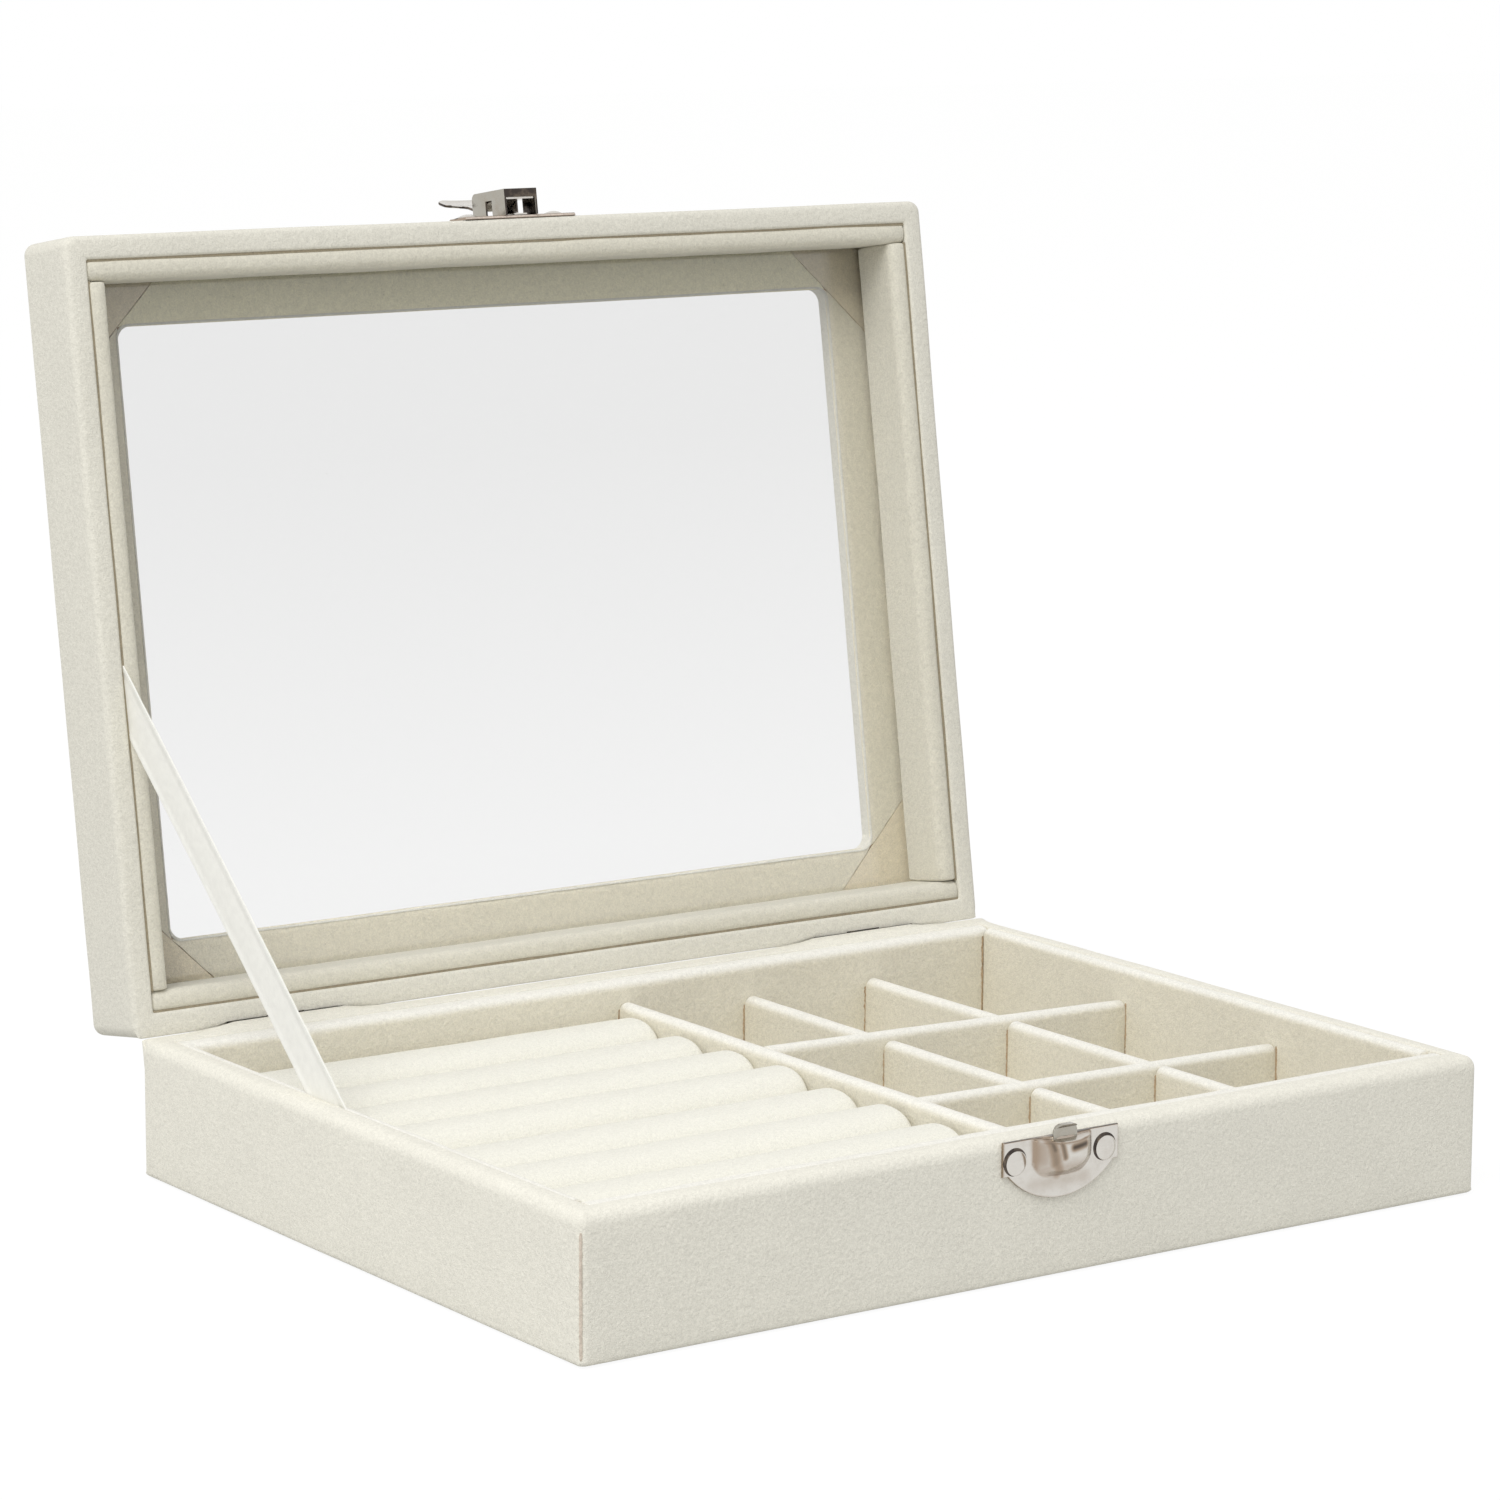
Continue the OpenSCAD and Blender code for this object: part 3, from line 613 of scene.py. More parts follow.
@lru_cache(maxsize=None)
def velvet_group() -> bpy.types.NodeTree:
    """Short cut pile: fine tips, brushed patches and the odd darker fleck, with a painted top light that
    makes faces which point up paler.

    Returns:
        The group, with Colour, Tip (mm), Brush, Fleck and Crown inputs and Colour and Normal outputs.
    """
    tree, start, end = shader_group(
        "velvet_pile", {"Colour": (1, 1, 1, 1), "Tip": 0.35, "Brush": 0.04, "Fleck": 0.1, "Crown": 0.0},
        ("Colour", "Normal"))
    given, where = start.outputs, tree.place()
    tip_scale = tree.maths("DIVIDE", 1000.0, given["Tip"])
    tips = tree.clouds(where, tip_scale, 2.0, 0.6)
    tufts = tree.clouds(where, tree.times(tip_scale, 0.33), 2.0, 0.5)
    brushed = tree.clouds(where, 55.0, 3.0, 0.55)
    flecks = tree.clouds(where, tree.times(tip_scale, 0.55), 1.0, 0.5)
    light = tree.times(tree.span(tips, 0.28, 0.72, 0.89, 1.08), tree.span(tufts, 0.3, 0.7, 0.95, 1.04))
    light = tree.maths("ADD", light, tree.times(tree.maths("SUBTRACT", brushed, 0.5), given["Brush"]))
    dark = tree.times(tree.span(flecks, 0.68, 0.8, 0.0, 1.0), given["Fleck"])
    light = tree.times(light, tree.maths("SUBTRACT", 1.0, dark))
    # Painted top light: points that face up blend towards a paler colour, by the crown value that
    # Velvet.dress stores on them.
    raised = tree.times(tree.point_value("crown"), given["Crown"])
    colour = tree.blended(raised, given["Colour"], (0.93, 0.915, 0.855, 1))
    height = tree.maths("ADD", tips, tree.times(tufts, 1.5))
    tree.feed(end, Colour=tree.scaled(colour, light), Normal=tree.bump(0.55, 0.00022, height))
    return tree.tree


@lru_cache(maxsize=None)
def metal_group() -> bpy.types.NodeTree:
    """Polished plate: soft dents, fine scratches and a thin tarnish, with painted reflections and shade in
    two tones, tan and near black.

    Returns:
        The group, with Colour, Tarnish and Scratch inputs and Colour, Roughness and Normal outputs.
    """
    tree, start, end = shader_group(
        "worn_plate", {"Colour": (1, 1, 1, 1), "Tarnish": 0.2, "Scratch": 0.3},
        ("Colour", "Roughness", "Normal"))
    where = tree.place()
    dents = tree.clouds(where, 260.0, 2.0, 0.5)
    stain = tree.clouds(where, 420.0, 4.0, 0.6)
    stretched = tree.feed(tree.add("Mapping"), Vector=where, Rotation=(0.0, 0.0, 0.6), Scale=(1.0, 9.0, 9.0))
    marks = tree.clouds(stretched.outputs["Vector"], 900.0, 3.0, 0.7)
    share = tree.times(tree.span(stain, 0.45, 0.75, 0.0, 1.0), start.outputs["Tarnish"])
    colour = tree.blended(share, start.outputs["Colour"], (0.34, 0.27, 0.2, 1))
    # Painted reflections and shade: each point's value blends the colour to tan and then to near black.
    smoke = tree.point_value("smoke")
    for low, tone in ((0.0, (0.37, 0.29, 0.22, 1)), (0.5, (0.05, 0.04, 0.032, 1))):
        colour = tree.blended(tree.span(smoke, low, low + 0.5, 0.0, 1.0), colour, tone)
    rough = tree.maths("ADD", tree.span(marks, 0.4, 0.7, 0.1, 0.24), tree.times(share, 0.5))
    height = tree.maths("ADD", tree.times(dents, 1.6), tree.times(marks, start.outputs["Scratch"]))
    tree.feed(end, Colour=colour, Roughness=rough, Normal=tree.bump(0.35, 0.00012, height))
    return tree.tree


# ---- finishes ----


@dataclass(frozen=True)
class Finish:
    """A finish that makes its material once and puts it on pieces."""

    name: str
    colour: Colour
    slot: str = ""

    def material(self) -> bpy.types.Material:
        """Make the material, unless it was made before.

        Returns:
            The material.
        """
        label = f"{self.name}_finish"
        found = bpy.data.materials.get(label)
        if found:
            return found
        made = bpy.data.materials.new(label)
        made.use_nodes = True
        self.paint(ShaderTree(made.node_tree), made.node_tree.nodes["Principled BSDF"])
        return made

    def paint(self, tree: ShaderTree, shader: Node) -> None:
        """Set up the material's nodes."""
        raise NotImplementedError

    def dress(self, piece: Piece) -> None:
        """Put the material on a piece."""
        piece.data.materials.clear()
        piece.data.materials.append(self.material())

    def use_group(self, tree: ShaderTree, group: bpy.types.NodeTree,
                  **inputs: Value) -> bpy.types.NodeOutputs:
        """Place a shader group with this finish's colour and values, and return its outputs."""
        node = tree.add("Group", node_tree=group)
        return tree.feed(node, Colour=(*self.colour, 1), **inputs).outputs


@dataclass(frozen=True)
class Velvet(Finish):
    """Glued or wrapped velvet."""

    slot: str = "velvet"
    tip: float = 0.35
    brush: float = 0.06
    fleck: float = 0.06
    sheen: float = 0.25
    # How much painted top light the faces that point up take.
    crown: float = 0.0

    def paint(self, tree: ShaderTree, shader: Node) -> None:
        """Set the pile's colour, its grain and its sheen.

        Args:
            tree: the helper for the material's tree.
            shader: the node that takes it all.
        """
        pile = self.use_group(tree, velvet_group(), Tip=self.tip, Brush=self.brush, Fleck=self.fleck,
                              Crown=self.crown)
        tree.feed(shader, Base_Color=pile["Colour"], Normal=pile["Normal"], Roughness=0.95,
                  Specular_IOR_Level=0.15, Sheen_Weight=self.sheen, Sheen_Roughness=0.45,
                  Sheen_Tint=(1.0, 0.99, 0.95, 1))

    def dress(self, piece: Piece) -> None:
        """Put the material on, and note on each point how much it faces up, for the painted top light that
        makes those faces paler.

        Args:
            piece: the piece.
        """
        super().dress(piece)
        if self.crown:
            crown = piece.data.attributes.new("crown", "FLOAT", "POINT")
            for point in piece.data.vertices:
                crown.data[point.index].value = soft_step((point.normal.z - 0.1) / 0.7)


@dataclass(frozen=True)
class PlatedMetal(Finish):
    """Plated sheet metal."""

    slot: str = "plated_steel"
    tarnish: float = 0.2
    scratch: float = 0.3

    def paint(self, tree: ShaderTree, shader: Node) -> None:
        """Set the plate's colour, roughness and small dents.

        Args:
            tree: the helper for the material's tree.
            shader: the node that takes it all.
        """
        plate = self.use_group(tree, metal_group(), Tarnish=self.tarnish, Scratch=self.scratch)
        tree.feed(shader, Base_Color=plate["Colour"], Roughness=plate["Roughness"], Normal=plate["Normal"],
                  Metallic=1.0)


@dataclass(frozen=True)
class ClearGlass(Finish):
    """Clear glass with a few dust specks, a little greyer towards its upper edge."""

    dust: Colour = (0.35, 0.33, 0.3)
    shaded: tuple[float, float, float, float] = (0.05, 0.13, 1.0, 0.925)

    def paint(self, tree: ShaderTree, shader: Node) -> None:
        """Set the glass and the specks on it.

        Args:
            tree: the helper for the material's tree.
            shader: the node that takes it all.
        """
        where = tree.place()
        cells = tree.feed(tree.add("TexVoronoi"), Vector=where, Scale=75.0)
        size = tree.span(tree.clouds(where, 60.0, 2.0), 0.5, 0.75, 0.0, 0.035)
        speck = tree.maths("LESS_THAN", cells.outputs["Distance"], size)
        height = tree.feed(tree.add("SeparateXYZ"), Vector=where).outputs["Z"]
        tint = tree.blended(speck, (*self.colour, 1), (*self.dust, 1))
        tree.feed(shader, Base_Color=tree.scaled(tint, tree.span(height, *self.shaded)), Roughness=0.0,
                  Transmission_Weight=1.0, IOR=1.5)


@dataclass(frozen=True)
class SatinRibbon(Finish):
    """Woven ribbon with a soft sheen and fine ribs."""

    slot: str = "ribbon"

    def paint(self, tree: ShaderTree, shader: Node) -> None:
        """Set the ribbon's weave, from its own map along and across.

        Args:
            tree: the helper for the material's tree.
            shader: the node that takes it all.
        """
        across = tree.place("UV")
        ribs, threads = (
            tree.feed(tree.add("TexWave", wave_type="BANDS", bands_direction=way), Vector=across, Scale=scale)
            .outputs["Fac"] for way, scale in (("X", 60.0), ("Y", 9.0)))
        light = tree.times(tree.span(tree.clouds(across, 6.0, 3.0), 0.3, 0.7, 0.96, 1.02),
                           tree.span(ribs, 0.0, 1.0, 0.97, 1.0))
        height = tree.maths("ADD", ribs, tree.times(threads, 0.5))
        tree.feed(shader, Base_Color=tree.scaled(self.colour, light), Normal=tree.bump(0.3, 0.00008, height),
                  Roughness=0.5, Sheen_Weight=0.25, Sheen_Roughness=0.3, Specular_IOR_Level=0.35)


@dataclass(frozen=True)
class RawBoard(Finish):
    """Fibreboard, foam or glue: a matt mottled stuff."""

    slot: str = "fibreboard"
    grain: float = 400.0

    def paint(self, tree: ShaderTree, shader: Node) -> None:
        """Set the mottling.

        Args:
            tree: the helper for the material's tree.
            shader: the node that takes it all.
        """
        mottle = tree.clouds(tree.place(), self.grain, 5.0, 0.65)
        light = tree.span(mottle, 0.3, 0.7, 0.75, 1.15)
        tree.feed(shader, Base_Color=tree.scaled(self.colour, light), Normal=tree.bump(0.4, 0.0002, mottle),
                  Roughness=0.85)


VELVET = Velvet("grey_white_velvet", linear(240, 237, 225), tip=0.24, brush=0.09, sheen=0.15)
# A darker copy of the velvet for the lid: painted shade, where the lid takes less light than the base.
SHADED_LID_VELVET = Velvet("lid_velvet", linear(229, 226, 214), tip=0.28, brush=0.09)
# The linings and dividers take painted top light on their upward faces.
LINING_VELVET = Velvet("lining_velvet", linear(231, 226, 210), fleck=0.09, sheen=0.1, tip=0.3, crown=0.85)
# A darker, yellower copy of the lining velvet for the lid: painted shade on the lid's linings.
SHADED_LID_LINING_VELVET = Velvet("lid_lining_velvet", linear(222, 218, 203), fleck=0.09)
ROLL_VELVET = Velvet("roll_velvet", linear(248, 246, 235), "roll_velvet", tip=0.15, brush=0.03, fleck=0.0)
FLAP_VELVET = Velvet("flap_velvet", linear(241, 234, 211), fleck=0.12, sheen=0.1)
# A warmer, brighter copy of the flap velvet for the front flap: painted warm light from inside the box.
FRONT_FLAP_LIT_VELVET = Velvet("front_flap_velvet", linear(255, 249, 216), fleck=0.2, sheen=0.1)
PATCH_VELVET = Velvet("patch_velvet", linear(244, 232, 203), fleck=0.1, sheen=0.1)
RIBBON = SatinRibbon("satin_ribbon", linear(253, 252, 245))
PLATE = PlatedMetal("nickel_plate", (0.66, 0.635, 0.59))
CASE_METAL = PlatedMetal("latch_case_metal", (0.42, 0.4, 0.35), tarnish=0.35)
# Near-black metal: the lever's cut edges, and painted shade inside the latch housing, under the latch plate's
# edge, along the keeper's top edge and round the rivets.
CUT_EDGE_AND_SHADE_METAL = PlatedMetal("cut_edge_metal", (0.06, 0.05, 0.045), tarnish=0.5)
# Dark steel for the hinges, made near-black so that it also stands for the shade in the slit where the
# barrels show: painted shade.
HINGE_METAL = PlatedMetal("hinge_steel", (0.1, 0.09, 0.08), tarnish=0.6)
GLASS = ClearGlass("window_glass", (0.872, 0.873, 0.872))
BOARD = RawBoard("fibreboard", linear(176, 141, 98))
BURNISHED = RawBoard("burnished_edge", linear(218, 204, 192), grain=2500.0)
GLUE = RawBoard("frayed_glue", linear(184, 160, 130), grain=1600.0)
# A brown bead laid in the groove beside each lid lining: painted shade.
GROOVE_SHADE = RawBoard("groove_fuzz", linear(158, 147, 124), "velvet", 1600.0)
FOLD = RawBoard("folded_edge", linear(216, 203, 188), "velvet", 1600.0)
FOAM = RawBoard("roll_foam", linear(238, 234, 214), "foam", 900.0)


# ---- shaping ----


def soft_top(thickness: float, low: float, high: float, wall_r: float,
             open_r: float) -> list[tuple[float, float]]:
    """The cross-section of a padded strip: straight sides and a full top with two rounded shoulders.

    Args:
        thickness: how thick the strip is.
        low, high: the heights of its foot and top.
        wall_r, open_r: the rounding of the shoulders on its +y and -y sides.

    Returns:
        The outline as (y, z), centred on y = 0.
    """
    half, foot_r = thickness / 2, 0.3
    outline = [(-half + foot_r, low), (half - foot_r, low)]
    outline += [(half, z) for z in spaced(low + foot_r, high - wall_r - foot_r, 2.2)]
    outline += arc((half - wall_r, high - wall_r), wall_r, 0, 90)
    if thickness - wall_r - open_r > foot_r:
        outline.append(((open_r - wall_r) / 2, high + 0.04))
    outline += arc((-half + open_r, high - open_r), open_r, 90, 180, 8)
    outline += [(-half, z) for z in spaced(high - open_r - foot_r, low + foot_r, 2.2)]
    return outline


def faces_wall(side: str) -> bool:
    """Whether a strip's +y side lies against the wall on that side of the box."""
    return side in ("back", "left")


def lined(profile: Outline, side: str) -> list[tuple[float, float]]:
    """Turn a strip's cross-section so that its wall side faces the wall on that side of the box."""
    return list(profile) if faces_wall(side) else [(-y, z) for y, z in reversed(profile)]


def wall_places(x: float, y: float) -> list[tuple[str, float, Matrix]]:
    """How a strip lies along each wall.

    Args:
        x, y: how far from the middle the side strips and the front and back strips lie.

    Returns:
        Each strip's side, length and place.
    """
    long, short = SIZES.width - 2 * SIZES.wall - 0.1, SIZES.inner_depth - 0.2
    places = ((long, moved(0, -y)), (long, moved(0, y)),
              (short, moved(-x, 0, True)), (short, moved(x, 0, True)))
    return [(side, *place) for side, place in zip(SIDES, places)]


def pillow(seed: float, amount: float) -> Shaper:
    """Give a padded face its soft unevenness.

    Args:
        seed: which unevenness it is.
        amount: how deep it is, in mm.

    Returns:
        A shaper that moves a point.
    """
    def shape(point: Vector) -> Vector:
        """Move a point by a long wave and a short one.

        Args:
            point: the point, in mm.

        Returns:
            The point, moved.
        """
        long_wave = drift(point, (21, 19, 23), (1, 1, 1), (seed, seed + 5, seed + 9))
        short_wave = drift(point, (6, 7, 5), (1, 1, 1), (seed + 2, seed + 7, seed + 11))
        return point + amount * long_wave + amount * 0.35 * short_wave

    return shape


@dataclass(frozen=True)
class HingeFold:
    """How the velvet at the back of the rim comes up to the hinge line and folds over each barrel."""

    upward: int
    edge: float
    centre: float = 0.0
    near: float = 0.2
    drawn: float = 0.85
    barrel: float = 0.9
    taper: float = 4.0
    lip: float = 0.5
    lip_taper: float = 11.0
    lip_start: float = 0.7
    lip_wide: float = 3.1
    squeeze: float = 0.4

    def shape(self, point: Vector) -> Vector:
        """Bring a point of the cover to its place.

        Args:
            point: the point, in mm.

        Returns:
            The point, moved.
        """
        inward, away = SIZES.depth / 2 - point.y, (point.z - SIZES.base_height) * self.upward
        low, high = sorted((inward, away))
        if low >= -self.near and high < self.edge and low < 0.45 * self.edge:
            point = Vector((point.x, point.y + self.drawn * inward,
                            point.z - self.drawn * away * self.upward))
        past = abs(abs(point.x - self.centre) - SIZES.hinge_x) - SIZES.hinge_length / 2
        radius = self.barrel * soft_step(1 - past / self.taper)
        lip = self.lip * soft_step(1 - past / self.lip_taper)
        across = (inward - self.lip_start) / self.lip_wide
        if self.upward < 0 and 0 < across < 1 and away < 0.3:
            point = point + Vector((0, 0, lip * math.sin(math.pi * across)))
        offset = Vector((0, point.y - SIZES.depth / 2, point.z - SIZES.base_height))
        if radius <= 0 or offset.length >= radius / (1 - self.squeeze):
            return point
        return point - offset + offset.normalized() * (radius + self.squeeze * offset.length)


# ---- the base ----


class Assembly:
    """A group of pieces that ride on one body of the box."""

    body = Body.BASE

    def keep(self, piece: Piece, finish: Finish, *nodes: str, body: Body | None = None,
             fill: float = 0) -> Piece:
        """Dress a finished piece, seat it on its body and let it stand for its construction nodes.

        Args:
            piece: the piece.
            finish: its finish, which knows its material slot.
            nodes: the construction nodes that it stands for.
            body: the body that it rides on, where that isn't the assembly's.
            fill: how full a pad is, from 0 to 1; not used.

        Returns:
            The piece.
        """
        finish.dress(piece)
        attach(piece, (body or self.body).value)
        if nodes:
            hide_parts(*nodes)
        LOG.info("%s: %d faces, for %s", piece.name, len(piece.data.polygons), ", ".join(nodes) or "no node")
        return piece

    def coat(self, finish: Finish, *nodes: str) -> None:
        """Put a finish on construction nodes that show as they are.

        Args:
            finish: the finish.
            nodes: the nodes.
        """
        for node in nodes:
            for holder in frame["nodes"][node].material_slots:
                holder.material = finish.material()
            LOG.info("%s: shown as built", node)

    def face_slots(self, piece: Piece, slots: Sequence[int], *finishes: Finish) -> None:
        """Add finishes to a piece and share them out over its faces.

        Args:
            piece: the piece.
            slots: for each face 0 for the piece's own finish, 1 for the first that is added, and so on.
            finishes: the finishes that are added.
        """
        for finish in finishes:
            piece.data.materials.append(finish.material())
        piece.data.polygons.foreach_set("material_index", slots)


@dataclass
class BaseShell(Assembly):
    """The base's velvet, its floor, its linings and the boards inside."""

    edge: float = 2.5
    inner_edge: float = 0.45
    corner: float = 1.7
    tight: float = 0.3
    cloth: float = 0.5
    card_inset: float = 4.1
    card_foot: float = 3.0
    sheet_inset: float = 3.0
    board_foot: float = -9.0
    wander: tuple = (0.12, 0.12, 0.07)
    wall_shoulders: tuple = (0.5, 1.9)
    side_shoulders: tuple = (0.45, 1.5)

    def cover(self) -> None:
        """Wrap the velvet round the walls, over the rim and under the base."""
        top, foot, edge, inner, cloth = SIZES.base_height, SIZES.sheet, self.edge, self.inner_edge, self.cloth
        outline = [(0.0, z, self.corner) for z in spaced(foot + 1.0, top - edge, 3.2)]
        outline += [(x, z, max(self.corner - x, self.tight))
                    for x, z in arc((edge, top - edge), edge, 180, 90, 10)[1:]]
        outline += [(x, z, self.tight) for x, z in [(3.1, top + 0.04), (3.6, top + 0.04)]
                    + arc((SIZES.wall - inner, top - inner), inner, 90, 0, 4)
                    + [(SIZES.wall, z) for z in spaced(top - 2.5, top - SIZES.tuck, 2.5)]]
        outline += [(4.0, top - SIZES.tuck, 0.2), (4.0, top - 1.2, 0.2)]
        outline += [(1.7, top - 1.0, 0.5), (0.6, top - 2.2, 0.5)]
        outline += [(cloth, foot + cloth, 0.5), (SIZES.hem, foot + cloth, 0.5), (SIZES.hem, foot, 0.5)]
        outline += [(2.0, foot, 0.8)]
        outline += [(x, z, 1.2) for x, z in arc((0.8, foot + 0.8), 0.8, -90, -180, 4)[:-1]]
        fold = HingeFold(-1, edge)

        def shape(point: Vector) -> Vector:
            """Fold a point at the hinges and let it wander, but keep the foot level.

            Args:
                point: the point, in mm.

            Returns:
                The point, moved.
            """
            soft = drift(point, WANDER_SIZES, self.wander, (0, 3, 6))
            soft.z *= 0 if point.z < foot + 1 else 1
            return fold.shape(point) + soft

        self.keep(ring("base_velvet", outline, shape), VELVET, "base_velvet_cover")

    def sheets(self) -> None:
        """Lay the velvet card that floors the inside, and glue the sheet under the base."""
        def shape(point: Vector) -> Vector:
            """Let the card's face rise and fall a little."""
            return point + Vector((0, 0, waver(point, 14, 0.05) if point.z > 3.2 else 0))

        width, half = SIZES.width - 2 * self.card_inset, SIZES.depth / 2 - self.card_inset
        outline = [(-half, self.card_foot), (half, self.card_foot)]
        outline += [(y, SIZES.floor) for y in spaced(half, -half, 3)]
        card = bar("floor_card", outline, width, moved(0, 0), shape, 0.05)
        self.keep(card, LINING_VELVET, "base_floor_card")
        width, half = SIZES.width - 2 * self.sheet_inset, SIZES.depth / 2 - self.sheet_inset
        outline = [(-half, 0.0), (half, 0.0), (half, SIZES.sheet), (-half, SIZES.sheet)]
        sheet = bar("underside_sheet", outline, width, moved(0, 0), end_r=0.05, step=8)
        self.keep(sheet, VELVET, "base_underside_sheet")

    def linings(self) -> None:
        """Set the four padded lining strips round the inside."""
        x, y = (SIZES.inner_width + SIZES.side_lining) / 2, (SIZES.inner_depth + SIZES.lining) / 2
        for seed, (side, length, place) in enumerate(wall_places(x, y), 1):
            thick, shoulders = (SIZES.lining, self.wall_shoulders) if side in SIDES[:2] else (
                SIZES.side_lining, self.side_shoulders)
            profile = soft_top(thick, SIZES.floor, SIZES.lining_top, *shoulders)
            strip = bar(f"{side}_lining_strip", lined(profile, side), length, place, pillow(seed, 0.12))
            self.keep(strip, LINING_VELVET, f"base_{side}_lining", fill=0.9)

    def build(self) -> None:
        """Make the whole shell and the boards under the velvet."""
        self.cover()
        self.sheets()
        self.linings()
        self.coat(BOARD, "base_bottom_board")
        for side in SIDES:
            edit = drawn_in(self.board_foot, SIZES.base_height)
            board = node_copy(f"base_{side}_board", f"base_{side}_panel", edit)
            self.keep(board, BOARD, f"base_{side}_board")


@dataclass
class Dividers(Assembly):
    """The main divider and the four that make the nine compartments."""

    shoulder: float = 1.6
    lift: tuple = ((0.1, -1.0), (1.1, -0.9))

    def strip(self, name: str, node: str, height: float, length: float, place: Matrix, seed: float,
              lift: tuple = (0.0, 0.0)) -> None:
        """Make one padded divider strip.

        Args:
            name: the strip's name.
            node: the construction node that it stands for.
            height: its height above the floor card.
            length: its length.
            place: where it goes.
            seed: the seed of its unevenness.
            lift: how far its top stands above that height at its left and right ends.
        """
        profile = soft_top(SIZES.divider, SIZES.floor, SIZES.floor + height, self.shoulder, self.shoulder)
        soft, back = pillow(seed, 0.1), place.inverted()

        def shape(point: Vector) -> Vector:
            """Raise the upper part by its share of the lift."""
            rise = lift[0] + (lift[1] - lift[0]) * ((back @ point).x / length + 0.5)
            return soft(point) + Vector((0, 0, rise * unit((point.z - SIZES.floor) / height)))

        self.keep(bar(name, profile, length, place, shape, 0.4), LINING_VELVET, node)

    def build(self) -> None:
        """Make the dividers, the long ones in one piece each and the others between them."""
        deep, bay, right = SIZES.inner_depth, SIZES.bay, SIZES.inner_width / 2
        self.strip("main_divider_strip", "main_divider", SIZES.main_divider_height, deep - 0.1,
                   moved(SIZES.main_divider_x, 0, True), 11)
        front, back = SIZES.cross_y
        for row, name in enumerate(SIDES[:2]):
            place = moved((right + bay) / 2, (front, back)[row])
            self.strip(f"{name}_cross_strip", f"{name}_cross_divider", SIZES.cross_divider_height,
                       right - bay + 0.1, place, 12 + row, self.lift[row])
        half = SIZES.divider / 2
        runs = ((-deep / 2, front - half), (front + half, back - half), (back + half, deep / 2))
        for column, side in enumerate(SIDES[2:]):
            x = bay + (column + 1) * SIZES.cell[0] + (column + 0.5) * SIZES.divider
            for row, (part, (start, end)) in enumerate(zip(("front", "middle", "back"), runs)):
                self.strip(f"{side}_depth_strip_{part}", f"{side}_depth_divider", SIZES.depth_divider_height,
                           end - start + 0.1, moved(x, (start + end) / 2, True), 14 + column * 3 + row)


@dataclass
class GlueSeams(Assembly):
    """The frayed brown glue lines where the velvet pieces meet in a corner."""

    wide: float = 0.17
    thin: float = 0.04
    root: float = 0.25
    step: float = 0.3

    def seam(self, name: str, corner: tuple[float, float], ends: tuple[float, float], toward: tuple[int, int],
             fray: float, finish: Finish = GLUE) -> None:
        """Run one ragged bead up a corner and glue it to the base.

        Args:
            name: the piece's name.
            corner: the corner's place.
            ends: the heights of the bead's ends.
            toward: the signs of x and y on the open side of the corner.
            fray: how far the bead's width wanders, as a share.
            finish: the bead's finish.
        """
        heights, (tx, ty), loops = spaced(*ends, self.step), toward, []
        seed = corner[0] * 0.7 + corner[1]
        for index, height in enumerate(heights):
            tip = self.wide * min(1.0, 0.3 + index / 3, 0.3 + (len(heights) - 1 - index) / 3)
            spot = Vector((0, 0, height * 5))
            x, y = (sign * max(self.thin, tip * (
                1 + waver(spot, 6, fray, seed + side) + waver(spot, 2, fray, side)))
                for sign, side in ((tx, 3), (ty, 8)))
            flat = ((-tx * self.root, -ty * self.root), (x, -ty * 0.2), (x, ty * 0.07),
                    (tx * 0.07, y), (-tx * 0.2, y))
            loops.append([Vector((*corner, height)) + Vector((*place, 0)) for place in flat])
        self.keep(tube(name, loops, 60), finish)

    def build(self) -> None:
        """Run the seams in the back corners of every compartment and beside the main divider."""
        low, half, (cell_w, _) = SIZES.floor + 0.2, SIZES.divider / 2, SIZES.cell
        fold = (0.42 - SIZES.width / 2, 0.42 - SIZES.depth / 2)
        self.seam("corner_fold_seam", fold, (1.6, SIZES.base_height - 3.4), (-1, -1), 0.5, FOLD)
        back = SIZES.inner_depth / 2
        self.seam("main_seam", (SIZES.main_divider_x - half, back),
                  (low, SIZES.floor + SIZES.main_divider_height - 1.3), (-1, -1), 0.5)
        for row, y in enumerate([y - half for y in SIZES.cross_y] + [back]):
            top = SIZES.floor + (SIZES.cross_divider_height if row < 2 else SIZES.depth_divider_height) - 1.2
            divider = min(top, SIZES.floor + SIZES.depth_divider_height - 1.6)
            wall = SIZES.lining_top - 1.6 if row == 2 else top
            for column in range(3):
                near = SIZES.bay + column * (cell_w + SIZES.divider)
                self.seam(f"seam_{row}_{column}_right", (near + cell_w, y),
                          (low, wall if column == 2 else divider), (-1, -1),
                          2.0 if (row, column) == (2, 1) else 1.0)
                self.seam(f"seam_{row}_{column}_left", (near, y),
                          (low, divider if column else top - 1.0), (1, -1), 1.0)


